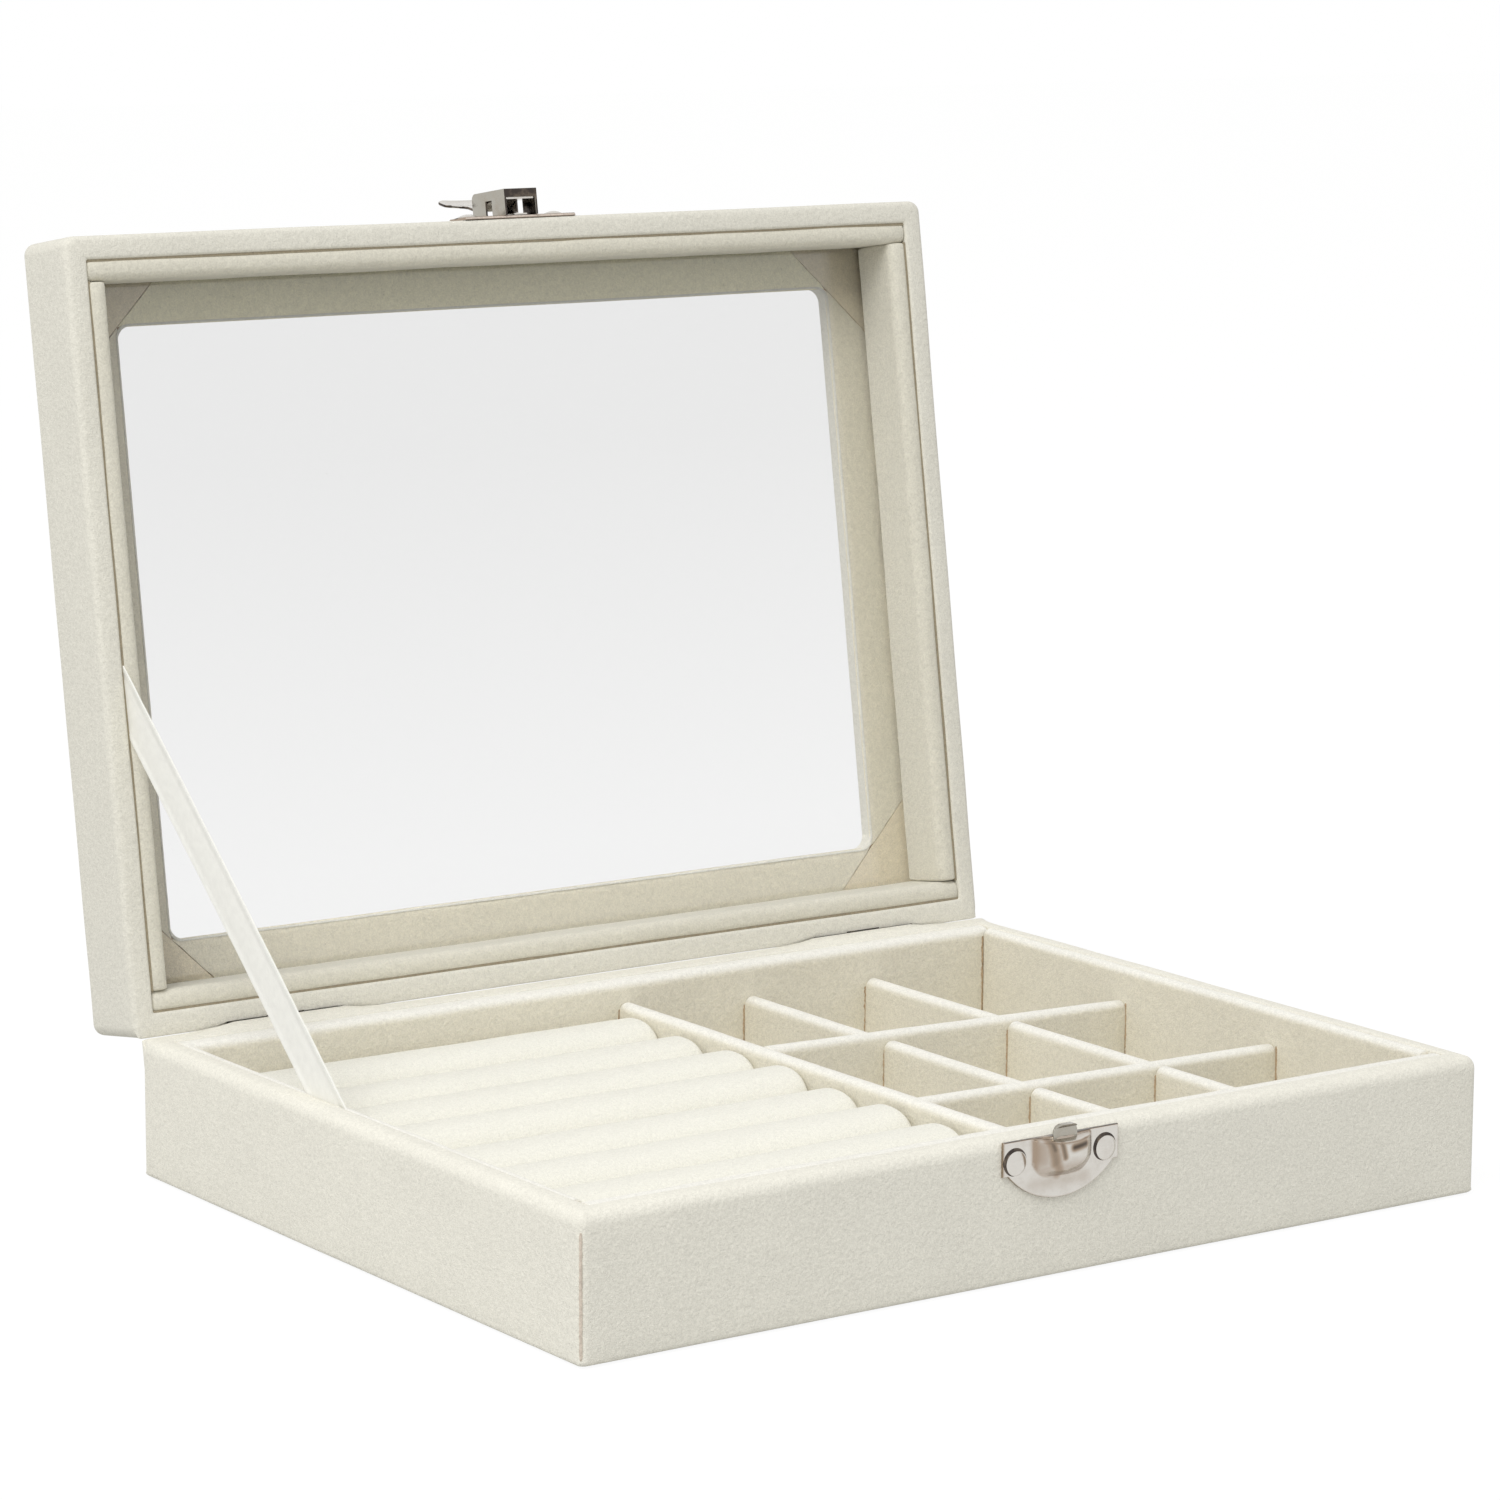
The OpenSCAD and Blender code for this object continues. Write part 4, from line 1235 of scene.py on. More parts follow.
@dataclass
class RollBed(Assembly):
    """The eight foam-filled ring rolls on the left."""

    count: int = 8
    gap: float = 0.15
    end_gap: float = 0.3
    sleeve: float = 1.0
    edge_r: float = 1.3
    squareness: float = 2.4
    turns: int = 64
    fullness: tuple = (0.8, 0.2, 0.7, 1.1, 0.2, 0.5, 0.4, 0.4)
    short_ends: tuple = (0.0, 0.3, 0.0, 0.0, 0.3, 0.4, 0.8, 0.4)

    @property
    def pitch(self) -> float:
        """The distance between two rolls' middles."""
        return SIZES.inner_depth / self.count

    @property
    def radius(self) -> float:
        """A roll's outer radius."""
        return (self.pitch - self.gap) / 2

    @property
    def left(self) -> float:
        """Where the rolls' left ends are."""
        return -SIZES.inner_width / 2 + 0.1

    def turned(self, name: str, profile: Outline, number: int) -> Piece:
        """Turn a profile of (along, radius) about a roll's middle line, a little squarer than a circle.

        Args:
            name: the piece's name.
            profile: the points, from one pole to the other.
            number: which roll it is, counted from the back.

        Returns:
            The closed form.
        """
        loops, seed, rise = [], number * 7.3, self.fullness[number - 1]
        y = SIZES.inner_depth / 2 - self.pitch * (number - 0.5)
        middle = Vector((self.left, y, SIZES.floor + self.radius))
        for along, radius in profile:
            loops.append([])
            for step in range(self.turns):
                angle = 2 * math.pi * step / self.turns
                y, z = math.cos(angle), math.sin(angle)
                full = (abs(y) ** self.squareness + abs(z) ** self.squareness) ** (-1 / self.squareness)
                tall = 1 + rise / (2 * self.radius)
                spot = middle + Vector((along, y * radius * full, z * radius * full * tall + rise / 2))
                soft = waver(Vector((spot.x, spot.y * 2, spot.z * 2)), 30, 0.22, seed)
                soft += waver(spot, 9, 0.06, seed + 3)
                spot += Vector((0, y, z)) * soft * min(1, radius / 6)
                spot.x += waver(spot, 8, 0.2, seed + 8) * (along > 5)
                loops[-1].append(spot)
        return tube(name, loops, capped=False)

    def build(self) -> None:
        """Make each roll's sleeve, open at its left end, and its foam core."""
        full_length = SIZES.bay - SIZES.divider - self.end_gap - self.left
        r, edge = self.radius - 0.05, self.edge_r
        inside, core_r = r - self.sleeve, r - self.sleeve - 0.25
        for number, short in enumerate(self.short_ends, 1):
            long = full_length - short
            outer = [(x, r) for x in spaced(0, long - edge, 2.4)]
            outer += arc((long - edge, r - edge), edge, 90, 0, 6)[1:]
            outer += [(long - 0.02 * step * step, (r - edge) * (1 - step / 5)) for step in range(1, 5)]
            outer.append((long - 0.5, 0.0))
            inner = [(long - 1.6, 0.0), (long - 1.5, r - edge - 0.5), (long - 2.4, inside)]
            inner += [(x, inside) for x in spaced(long - 6, 0, 8)]
            roll = self.turned(f"roll_sleeve_{number}", outer[::-1] + inner[::-1], number)
            self.keep(roll, ROLL_VELVET, f"ring_roll_{number}", fill=0.95)
            core = [(0.3, 0.0), (0.3, core_r - 0.4), (0.7, core_r)]
            core += [(x, core_r) for x in spaced(5, long - 6, 8)]
            core += [(long - 3.0, core_r - 0.4), (long - 2.6, core_r - 1.4), (long - 2.4, 0.0)]
            self.keep(self.turned(f"foam_core_{number}", core, number), FOAM, "roll_foam_cores", fill=1.0)


# ---- the lid ----


@dataclass
class LidShell(Assembly):
    """The lid's velvet, its linings and the boards inside, made closed and then opened."""

    body = Body.LID
    pose: LidPose
    edge: float = 1.3
    fold: float = 0.7
    corner: float = 2.4
    tight: float = 0.4
    cloth: float = 0.5
    wander: tuple = (0.12, 0.12, 0.09)
    hole_r: float = 0.8
    return_r: float = 0.45
    flap_seat: float = 3.1
    patch_seat: float = 3.15
    patch_reach: float = 12.4
    groove_half: float = 0.45
    rim: float = SIZES.base_height
    top: float = SIZES.base_height + SIZES.lid_height

    @property
    def window(self) -> tuple[float, float]:
        """Half the window's width and depth."""
        return SIZES.width / 2 - SIZES.window_frame, SIZES.depth / 2 - SIZES.window_frame

    def corner_radius(self, inset: float) -> float:
        """The corner radius at an inset: the outer corner's, sharp walls, then the window's.

        Args:
            inset: how far inside the box's side it is.

        Returns:
            The radius.
        """
        if inset < 6:
            return max(self.corner - inset, self.tight)
        return self.tight + (SIZES.window_corner - self.tight) * (inset - 6) / (SIZES.window_frame - 6)

    def cover(self) -> None:
        """Wrap the velvet from the rim over the walls and the frame to the window's edge."""
        rim, top, edge, fold = self.rim, self.top, self.edge, self.fold
        wall, hole = SIZES.wall, SIZES.window_frame
        cloth, hole_r, return_r = self.cloth, self.hole_r, self.return_r
        under, back = top - cloth, wall - cloth
        profile = [(0.0, z) for z in spaced(rim + edge, top - edge, 3.0)]
        profile += arc((edge, top - edge), edge, 180, 90)[1:]
        profile += [(x, top) for x in spaced(edge + 1.2, hole - 1.2, 1.6)]
        profile += arc((hole - hole_r, top - hole_r), hole_r, 90, 0)
        profile += [(hole, z) for z in spaced(top - 1.4, top - 3.0, 0.8)]
        profile += arc((hole - return_r, top - self.flap_seat), return_r, 0, -90, 4)
        profile += [(hole - cloth, under), (1.3, under), (cloth, under - 0.8), (cloth, rim + 1.4)]
        profile += [(1.4, rim + cloth), (back, rim + cloth), (back, rim + 8.5), (wall, rim + 8.5)]
        profile += [(wall, z) for z in spaced(rim + 7, rim + fold + 0.6, 2.0)]
        profile += arc((wall - fold, rim + fold), fold, 0, -90)
        profile += [(x, rim - 0.06) for x in (3.2, 2.5, 1.9)]
        profile += arc((edge, rim + edge), edge, -90, -180)[:-1]
        hinges = HingeFold(1, edge, -SIZES.lid_shift)

        def shape(point: Vector) -> Vector:
            """Fold a point at the hinges and let it wander."""
            return hinges.shape(point) + drift(point, WANDER_SIZES, self.wander, (40, 43, 46))

        cover = ring("lid_velvet", [(x, z, self.corner_radius(x)) for x, z in profile], shape)
        self.keep(self.pose.open(cover), SHADED_LID_VELVET, "lid_velvet_cover")

    def flaps(self) -> None:
        """Fold the four velvet flaps back behind the window's frame, cut at 45 degrees at its corners."""
        high, columns, rows = self.top - self.flap_seat, 96, spaced(-0.1, SIZES.flap, 0.9)
        for turn, side in enumerate(("front", "right", "back", "left")):
            turn *= 90
            along, out = self.window if turn % 180 == 0 else self.window[::-1]
            points = []
            for level in (high - 0.38, high):
                for row, column in ((row, column) for row in rows for column in range(columns + 1)):
                    share = 2 * column / columns - 1
                    spot = Vector(((along - row - 0.25) * share, -out - row, level))
                    lip = 0.6 * max(0.0, 0.4 - row) * (level < high)
                    ragged = waver(spot, 2.2, 0.16, turn) * (abs(share) > 0.999 or row == rows[-1])
                    spot += Vector((ragged, 0, lip + waver(spot, 11, 0.05, turn)))
                    points.append(Matrix.Rotation(math.radians(turn), 3, "Z") @ spot)
            flap = self.pose.open(slab(f"window_flap_{side}", points, columns + 1))
            # The front flap takes the copy with painted warm light.
            self.keep(flap, FLAP_VELVET if turn else FRONT_FLAP_LIT_VELVET, "lid_velvet_cover")

    def corner_patches(self) -> None:
        """Set the velvet patches that show at the window's corners beyond the flaps."""
        high, reach, steps, half = self.top - self.patch_seat, self.patch_reach, 12, Vector(self.window)
        for sx, sy in ((-1, -1), (1, -1), (1, 1), (-1, 1)):
            points = []
            for level in (high - 0.3, high):
                for row, column in ((row, column) for row in range(steps + 1) for column in range(steps + 1)):
                    across, out = reach * (1 - 2 * column / steps), reach * row / steps
                    across *= 1 - 0.97 * row / steps
                    x, y = across + out, out - across
                    spot = Vector((sx * (half.x + x), sy * (half.y + y), level))
                    spot.z += waver(spot, 9, 0.05, 70)
                    points.append(spot)
            name = f"corner_patch_{'front' if sy < 0 else 'back'}_{'left' if sx < 0 else 'right'}"
            self.keep(self.pose.open(slab(name, points, steps + 1)), PATCH_VELVET, "lid_corner_patches")

    def linings(self) -> None:
        """Set the four padded lining strips round the inside of the lid, with a bead of painted shade in the
        groove beside each.
        """
        low, high = 2 * self.rim - SIZES.lining_top, self.rim + SIZES.glass_level
        profile = [(y, low + high - z) for y, z in reversed(soft_top(SIZES.lining, low, high, 1.3, 1.9))]
        x, y = (SIZES.width - SIZES.lining) / 2 - SIZES.wall, (SIZES.inner_depth + SIZES.lining) / 2
        for seed, (side, length, place) in enumerate(wall_places(x, y), 21):
            strip = bar(f"lid_{side}_lining_strip", lined(profile, side), length, place, pillow(seed, 0.12))
            self.keep(self.pose.open(strip), SHADED_LID_LINING_VELVET, f"lid_{side}_lining", fill=0.9)
            # A brown bead of painted shade along the groove beside the strip.
            edge = SIZES.lining / 2 if faces_wall(side) else -SIZES.lining / 2
            bead = [(edge + across * self.groove_half, low + up)
                    for across, up in ((-1, 0.3), (1, 0.3), (1, 1.3), (-1, 1.3))]
            groove = bar(f"lid_{side}_groove_fuzz", bead, length + 0.3, place, pillow(seed + 40, 0.1),
                         0.2, 0.6)
            self.keep(self.pose.open(groove), GROOVE_SHADE)

    def build(self) -> None:
        """Make the whole shell, its glass and the boards under the velvet."""
        self.cover()
        self.flaps()
        self.corner_patches()
        self.linings()
        self.coat(GLASS, "window_glass")
        frame["nodes"]["window_glass"].visible_shadow = False
        for side in ("window", *SIDES):
            board = node_copy(f"lid_{side}_board", f"lid_{side}_panel", drawn_in(self.rim, self.top),
                              self.pose.matrix)
            self.keep(board, BOARD, f"lid_{side}_board")


# ---- fittings ----


class Hinges(Assembly):
    """The two hinges: leaves, pins and nails, as they were built."""

    def build(self) -> None:
        """Give the hinges their metal."""
        for part in ("base", "lid"):
            leaves = (f"{side}_hinge_{part}_leaf" for side in SIDES[2:])
            self.coat(HINGE_METAL, *leaves, f"{part}_leaf_nails")
        self.coat(HINGE_METAL, "hinge_pins")


def front_face(upward: int, shift: float = 0.0) -> Placer:
    """A map from a fitting's own sizes to its place on the front face.

    Args:
        upward: -1 below the rim, on the base, or 1 above it, on the closed lid.
        shift: how far the face sits off centre.

    Returns:
        A function that takes across, out and along, in mm, and gives the place in mm.
    """
    def place(across: float, out: float, along: float) -> Vector:
        """Give the place on the front face."""
        x, y = SIZES.latch_x + shift + across, -SIZES.depth / 2 - out
        return Vector((x, y, SIZES.base_height + upward * along))

    return place


@lru_cache(maxsize=None)
def rivet_tree() -> bpy.types.NodeTree:
    """Spread copies of a rivet along a line.

    Returns:
        The geometry tree, with Rivet, Count, Step and Metal inputs.
    """
    tree = bpy.data.node_groups.new("rivet_row", "GeometryNodeTree")
    for label, kind in (("Rivet", "Object"), ("Count", "Int"), ("Step", "Vector"), ("Metal", "Material")):
        tree.interface.new_socket(name=label, in_out="INPUT", socket_type=f"NodeSocket{kind}")
    tree.interface.new_socket(name="Geometry", in_out="OUTPUT", socket_type="NodeSocketGeometry")
    start, end = tree.nodes.new("NodeGroupInput"), tree.nodes.new("NodeGroupOutput")
    line, source, spread, real, paint = (tree.nodes.new(f"GeometryNode{kind}") for kind in (
        "MeshLine", "ObjectInfo", "InstanceOnPoints", "RealizeInstances", "SetMaterial"))
    for giver, output, taker, entry in (
        (start, "Count", line, "Count"), (start, "Step", line, "Offset"), (start, "Rivet", source, "Object"),
        (line, "Mesh", spread, "Points"), (source, "Geometry", spread, "Instance"),
        (spread, "Instances", real, "Geometry"), (real, "Geometry", paint, "Geometry"),
        (start, "Metal", paint, "Material"), (paint, "Geometry", end, "Geometry"),
    ):
        tree.links.new(giver.outputs[output], taker.inputs[entry])
    return tree


@dataclass
class Fitting(Assembly):
    """A half-moon plate with two rivets; the latch and the keeper are built on it."""

    width: float = 25.7
    side: float = 6.2
    height: float = 11.4
    inset: float = 0.6
    metal: float = 0.6
    shoulder: float = 1.2
    rivet_pitch: float = 20.0
    rivet_along: float = 4.6
    rivet_r: float = 2.25
    rivet_dome: float = 0.75
    # The near-black rings of painted shade round the rivet heads: how far they reach past a head, and how far
    # off centre they sit.
    rivet_gap: float = 0.3
    gap_off: float = 0.3
    shank_r: float = 1.0
    shank: float = 4.0
    turns: int = 40
    edge_turn: float = 0.45
    # How much painted reflection the faces that turn left, right and partly up take, and how much painted
    # shade the faces that turn down take.
    left_painted_reflection: float = 0.5
    right_painted_reflection: float = 0.35
    upper_painted_reflection: float = 0.75
    under_painted_shade: float = 0.3

    def foot(self, across: float) -> float:
        """How far down the plate reaches.

        Args:
            across: a place across it.

        Returns:
            The height of its edge there.
        """
        chord, sagitta = self.width / 2 - self.shoulder, self.height - self.side
        if abs(across) >= chord:
            return self.inset + self.side
        radius = (chord * chord + sagitta * sagitta) / (2 * sagitta)
        return self.inset + self.height - radius + math.sqrt(radius * radius - across * across)

    def raised(self, across: float, along: float) -> float:
        """How far the sheet's face stands out at a place; a plain plate is flat."""
        return self.metal

    def smoke(self, across: float, along: float) -> float:
        """How much painted reflection a place takes; a plain plate takes none."""
        return 0.0

    def plate(self, name: str, place: Placer) -> Piece:
        """Press the plate: a top edge, a face that follows raised(), a rounded foot and a flat back.

        Args:
            name: the piece's name.
            place: maps across, out and along to the piece's place.

        Returns:
            The closed plate, with the painted reflection and shade on each point.
        """
        half, chord, rows = self.width / 2, self.width / 2 - self.shoulder, 44
        columns = [-half, -half + 0.12] + spaced(-half + 0.4, -chord, 0.3)
        columns += spaced(-chord + 0.15, chord - 0.15, 0.3) + spaced(chord, half - 0.4, 0.3)
        columns += [half - 0.12, half]
        loops, dark = [], []
        for across in columns:
            edge = 0.16 * (abs(across) > half - 0.05)
            foot, top = self.foot(across), self.raised(across, self.inset)
            round_r = min(0.5, top * 0.3)
            start = self.inset + round_r
            line = [(self.inset, share * (top - round_r)) for share in (0.0, 0.35, 0.7, 0.9, 1.0)]
            line += [(start - round_r * math.cos(a), top - round_r + round_r * math.sin(a))
                     for a in (0.4, 0.8, 1.2, math.pi / 2)]
            for step in range(1, rows + 1):
                along = start + (foot - 0.12 - start) * step / rows
                line.append((along, self.raised(across, along)))
            line += [(foot - 0.04, self.metal - 0.06), (foot, self.metal - 0.18), (foot, 0.0)]
            loops.append([place(across, max(0.0, out - edge), along) for along, out in line])
            dark += [self.smoke(across, along) for along, out in line]
        made = tube(name, loops)
        self.tint(made, [point for loop in loops for point in loop], dark)
        return made

    def tint(self, made: Piece, points: Sequence[Vector], dark: Sequence[float]) -> None:
        """Note on each point of a plate how much painted reflection and shade it takes, there and where it
        turns away.

        Args:
            made: the plate.
            points: the places that were measured, in mm.
            dark: how much painted reflection each takes.
        """
        nearest = KDTree(len(points))
        for index, point in enumerate(points):
            nearest.insert(point * MM, index)
        nearest.balance()
        smoke = made.data.attributes.new("smoke", "FLOAT", "POINT")
        for vertex in made.data.vertices:
            across, _, up = vertex.normal
            side_painted_reflection = self.left_painted_reflection if across < 0 else self.right_painted_reflection
            smoke.data[vertex.index].value = max(
                dark[nearest.find(vertex.co)[1]], side_painted_reflection * unit((abs(across) - 0.2) / 0.5),
                self.upper_painted_reflection * max(0.0, 1 - abs(up - 0.5) / 0.3),
                self.under_painted_shade * unit((-up - 0.1) / 0.4))

    def spun(self, place: Placer, across: float, along: float, profile: Outline) -> list[list[Vector]]:
        """Turn a profile of (radius, out) about a line that stands on the plate.

        Args:
            place: maps across, out and along to the piece's place.
            across, along: where the line stands.
            profile: the points.

        Returns:
            A loop of points for each point of the profile.
        """
        angles = [2 * math.pi * step / self.turns for step in range(self.turns)]
        return [[place(across + radius * math.cos(a), out, along + radius * math.sin(a)) for a in angles]
                for radius, out in profile]

    def rivets(self, name: str, place: Placer) -> Piece:
        """Turn a rivet, with a shank and a low domed head, and spread a pair of them by nodes.

        Args:
            name: the piece's name.
            place: maps across, out and along to the piece's place.

        Returns:
            The rivets as one mesh.
        """
        radius, metal = self.rivet_r, self.metal
        dome_r = (radius ** 2 + self.rivet_dome ** 2) / (2 * self.rivet_dome)
        profile = [(0.0, -self.shank), (self.shank_r, -self.shank), (self.shank_r, metal - 0.05)]
        profile += [(radius - 0.25, metal - 0.05), (radius - 0.12, metal + 0.03), (radius, metal + 0.12)]
        profile += [(dome_r * math.sin(a), metal + self.rivet_dome - dome_r + dome_r * math.cos(a))
                    for a in (math.asin(radius / dome_r) * share
                              for share in (0.985, 0.9, 0.78, 0.62, 0.45, 0.3, 0.15, 0.0))]
        loops = self.spun(place, -self.rivet_pitch / 2, self.rivet_along, profile)
        head = tube("rivet_head", loops, capped=False)
        carrier, tree = linked(name, bpy.data.meshes.new(name)), rivet_tree()
        step = (place(self.rivet_pitch, 0, 0) - place(0, 0, 0)) * MM
        spread = carrier.modifiers.new("rivets", "NODES")
        spread.node_group = tree
        values = {"Rivet": head, "Count": 2, "Step": tuple(step), "Metal": PLATE.material()}
        for item in tree.interface.items_tree:
            if item.in_out == "INPUT":
                spread[item.identifier] = values[item.name]
        made = settled(carrier, 50)
        bpy.data.objects.remove(head)
        return made

    def rivet_shadow_rings(self, name: str, place: Placer) -> Piece:
        """Lay a near-black ring under each rivet head, painted shade of the gap where the plate is dimpled
        round it.

        Args:
            name: the piece's name.
            place: maps across, out and along to the piece's place.

        Returns:
            Both rings as one closed mesh.
        """
        radius, off = self.rivet_r + self.rivet_gap, self.gap_off
        low, high = self.metal - 0.2, self.metal + 0.02
        profile = ((0.0, low), (radius, low), (radius, high), (0.0, high))
        left, right = (self.spun(place, side * self.rivet_pitch / 2 - off, self.rivet_along - off, profile)
                       for side in (-1, 1))
        return tube(name, left + right, capped=False, runs=2)


def strip_metal(name: str, path: Outline, half_width: Callable[[float], float], thick: float, place: Placer,
                curl: float = 0.0) -> Piece:
    """Bend a strip of sheet along a path of (along, out) points.

    Args:
        name: the piece's name.
        path: the strip's inner face, closely spaced.
        half_width: half the strip's width at a distance along it.
        thick: the sheet's thickness.
        place: maps across, out and along to the piece's place.
        curl: how far the middle of a wide part bows out.

    Returns:
        The closed strip.
    """
    loops, gone, steps, edge = [], 0.0, 16, min(0.12, thick * 0.3)
    for index, (along, out) in enumerate(path):
        (ax, ay), (bx, by) = path[max(index - 1, 0)], path[min(index + 1, len(path) - 1)]
        run = math.hypot(bx - ax, by - ay)
        if index:
            gone += math.hypot(along - ax, out - ay)
        half = half_width(gone)
        flat = [(-1 + 2 * step / steps) * (half - edge * (step in (0, steps))) for step in range(steps + 1)]
        loop = [(x, 0.0) for x in flat] + [(half, edge), (half, thick - edge)]
        loop += [(x, thick) for x in reversed(flat)] + [(-half, thick - edge), (-half, edge)]
        wide = max(0.0, half - 3.6) / 3.4
        bows = [curl * (1 - (across / max(half, 0.1)) ** 2) * wide for across, _ in loop]
        loops.append([place(across, out + (bx - ax) / run * lift + bow, along - (by - ay) / run * lift)
                      for (across, lift), bow in zip(loop, bows)])
    return tube(name, loops)


def smoothed(corners: Outline, step: float = 0.25, rounds: int = 26) -> list[tuple[float, float]]:
    """Space points closely along a path of corners and round its bends.

    Args:
        corners: the path's corners.
        step: the distance between two points.
        rounds: how often each point is moved towards its neighbours.

    Returns:
        The points.
    """
    path: list[tuple[float, float]] = []
    for (ax, ay), (bx, by) in zip(corners, corners[1:]):
        count = max(1, round(math.hypot(bx - ax, by - ay) / step))
        path += [(ax + (bx - ax) * i / count, ay + (by - ay) * i / count) for i in range(count)]
    path.append(tuple(corners[-1]))
    for _ in range(rounds):
        middle = [((a[0] + 2 * b[0] + c[0]) / 4, (a[1] + 2 * b[1] + c[1]) / 4)
                  for a, b, c in zip(path, path[1:], path[2:])]
        path = [path[0], *middle, path[-1]]
    return path


@dataclass
class Keeper(Fitting):
    """The keeper on the base: a plate with a pressed hump and a tongue that reaches past the rim.

    A streak of painted reflection is its first and last place, as across and along, its half width and its
    darkness.
    """

    hump_half: float = 4.0
    hump_out: float = 3.6
    hump_height: float = 7.9
    hump_arc: float = 4.9
    hump_flare: float = 1.5
    crown_half: float = 2.4
    crown_roll: float = 1.7
    tongue_half: float = 2.6
    tongue_top: float = 1.5
    tongue_foot: float = 1.4
    tongue_out: float = 1.2
    tongue_r: float = 1.6
    painted_reflection_streaks: tuple = (
        (-3.9, 1.2, -2.9, 5.2, 2.1, 0.62), (-2.9, 5.2, -1.0, 7.6, 1.9, 0.55),
        (-3.6, 1.8, -3.3, 2.7, 1.2, 0.8), (-6.2, 1.0, -5.9, 4.2, 1.2, 0.4),
        (0.6, 2.6, 3.6, 2.4, 1.3, 0.95), (-1.9, 1.8, -1.3, 4.2, 1.0, 0.75),
        (-6.0, 9.0, 5.5, 9.0, 2.2, 0.16))

    def raised(self, across: float, along: float) -> float:
        """How far the sheet's face stands out, with the hump's crown and its rounded sides.

        Args:
            across, along: the place on the plate.

        Returns:
            The height of the face there.
        """
        foot = self.inset + self.hump_height
        middle, straight = foot - self.hump_half, foot - self.hump_arc
        reach = math.hypot(across / self.hump_flare, max(0.0, along - middle))
        share = unit((reach - self.crown_half) / (self.hump_half + 0.3 - self.crown_half))
        side = 0.45 * (1 - soft_step(share)) + 0.55 * math.sqrt(1 - share * share)
        crown = self.hump_out - 0.05 * across * across * (1 - share)
        if along > straight:
            crown -= self.hump_arc - math.sqrt(max(0.0, self.hump_arc ** 2 - (along - straight) ** 2))
        rolled = self.crown_roll - min(self.crown_roll, along - self.inset)
        crown -= self.crown_roll - math.sqrt(max(0.0, self.crown_roll ** 2 - rolled ** 2))
        return self.metal + max(0.0, crown - self.metal) * side

    def smoke(self, across: float, along: float) -> float:
        """Painted reflections: a tan one down the hump's left side and a dark one across its upper front.

        Args:
            across, along: the place on the plate.

        Returns:
            How dark it is there, from 0 to 1.
        """
        darkest = 0.0
        for ax, ay, bx, by, half, level in self.painted_reflection_streaks:
            run_x, run_y = bx - ax, by - ay
            gone = unit(((across - ax) * run_x + (along - ay) * run_y) / (run_x ** 2 + run_y ** 2))
            off = math.hypot(across - ax - gone * run_x, along - ay - gone * run_y)
            darkest = max(darkest, level * soft_step(1 - off / half))
        return darkest

    def tongue(self, place: Placer) -> Piece:
        """Make the tongue: a round-topped tab that rises from the hump past the rim.

        Args:
            place: maps across, out and along to the piece's place.

        Returns:
            The closed tab.
        """
        loops, back = [], self.tongue_out + 0.1
        for along in spaced(self.tongue_foot, -self.tongue_top + 0.02, 0.18):
            drop, half = along + self.tongue_top, self.tongue_half
            if drop < self.tongue_r:
                rest = self.tongue_r ** 2 - (self.tongue_r - drop) ** 2
                half = max(self.tongue_half - self.tongue_r + math.sqrt(max(0.0, rest)), 0.3)
            front = self.tongue_out + 0.5 + 0.9 * max(0.0, 1 - drop / 0.7) ** 0.5
            loop = [(-half, back), (half, back), (half + 0.08, front - 0.15)]
            loop += [(half * (1 - 0.25 * step), front) for step in range(9)] + [(-half - 0.08, front - 0.15)]
            loops.append([place(across, out, along) for across, out in loop])
        return tube("keeper_tongue", loops, 45)

    def build(self) -> None:
        """Make the keeper."""
        place, rim = front_face(-1), SIZES.base_height - self.inset - 0.2
        plate = self.keep(self.plate("keeper_pressing", place), PLATE, "keeper_plate")
        # Faces at the plate's top edge that turn up take near-black metal: painted shade of the gap between
        # the plate and the velvet.
        self.face_slots(plate, [int(face.normal.z > self.edge_turn and face.center.z / MM > rim)
                                for face in plate.data.polygons], CUT_EDGE_AND_SHADE_METAL)
        self.keep(self.tongue(place), CASE_METAL, "keeper_plate")
        self.keep(self.rivets("keeper_rivet_pair", place), PLATE, "keeper_rivets")
        self.keep(self.rivet_shadow_rings("keeper_rivet_gaps", place), CUT_EDGE_AND_SHADE_METAL)


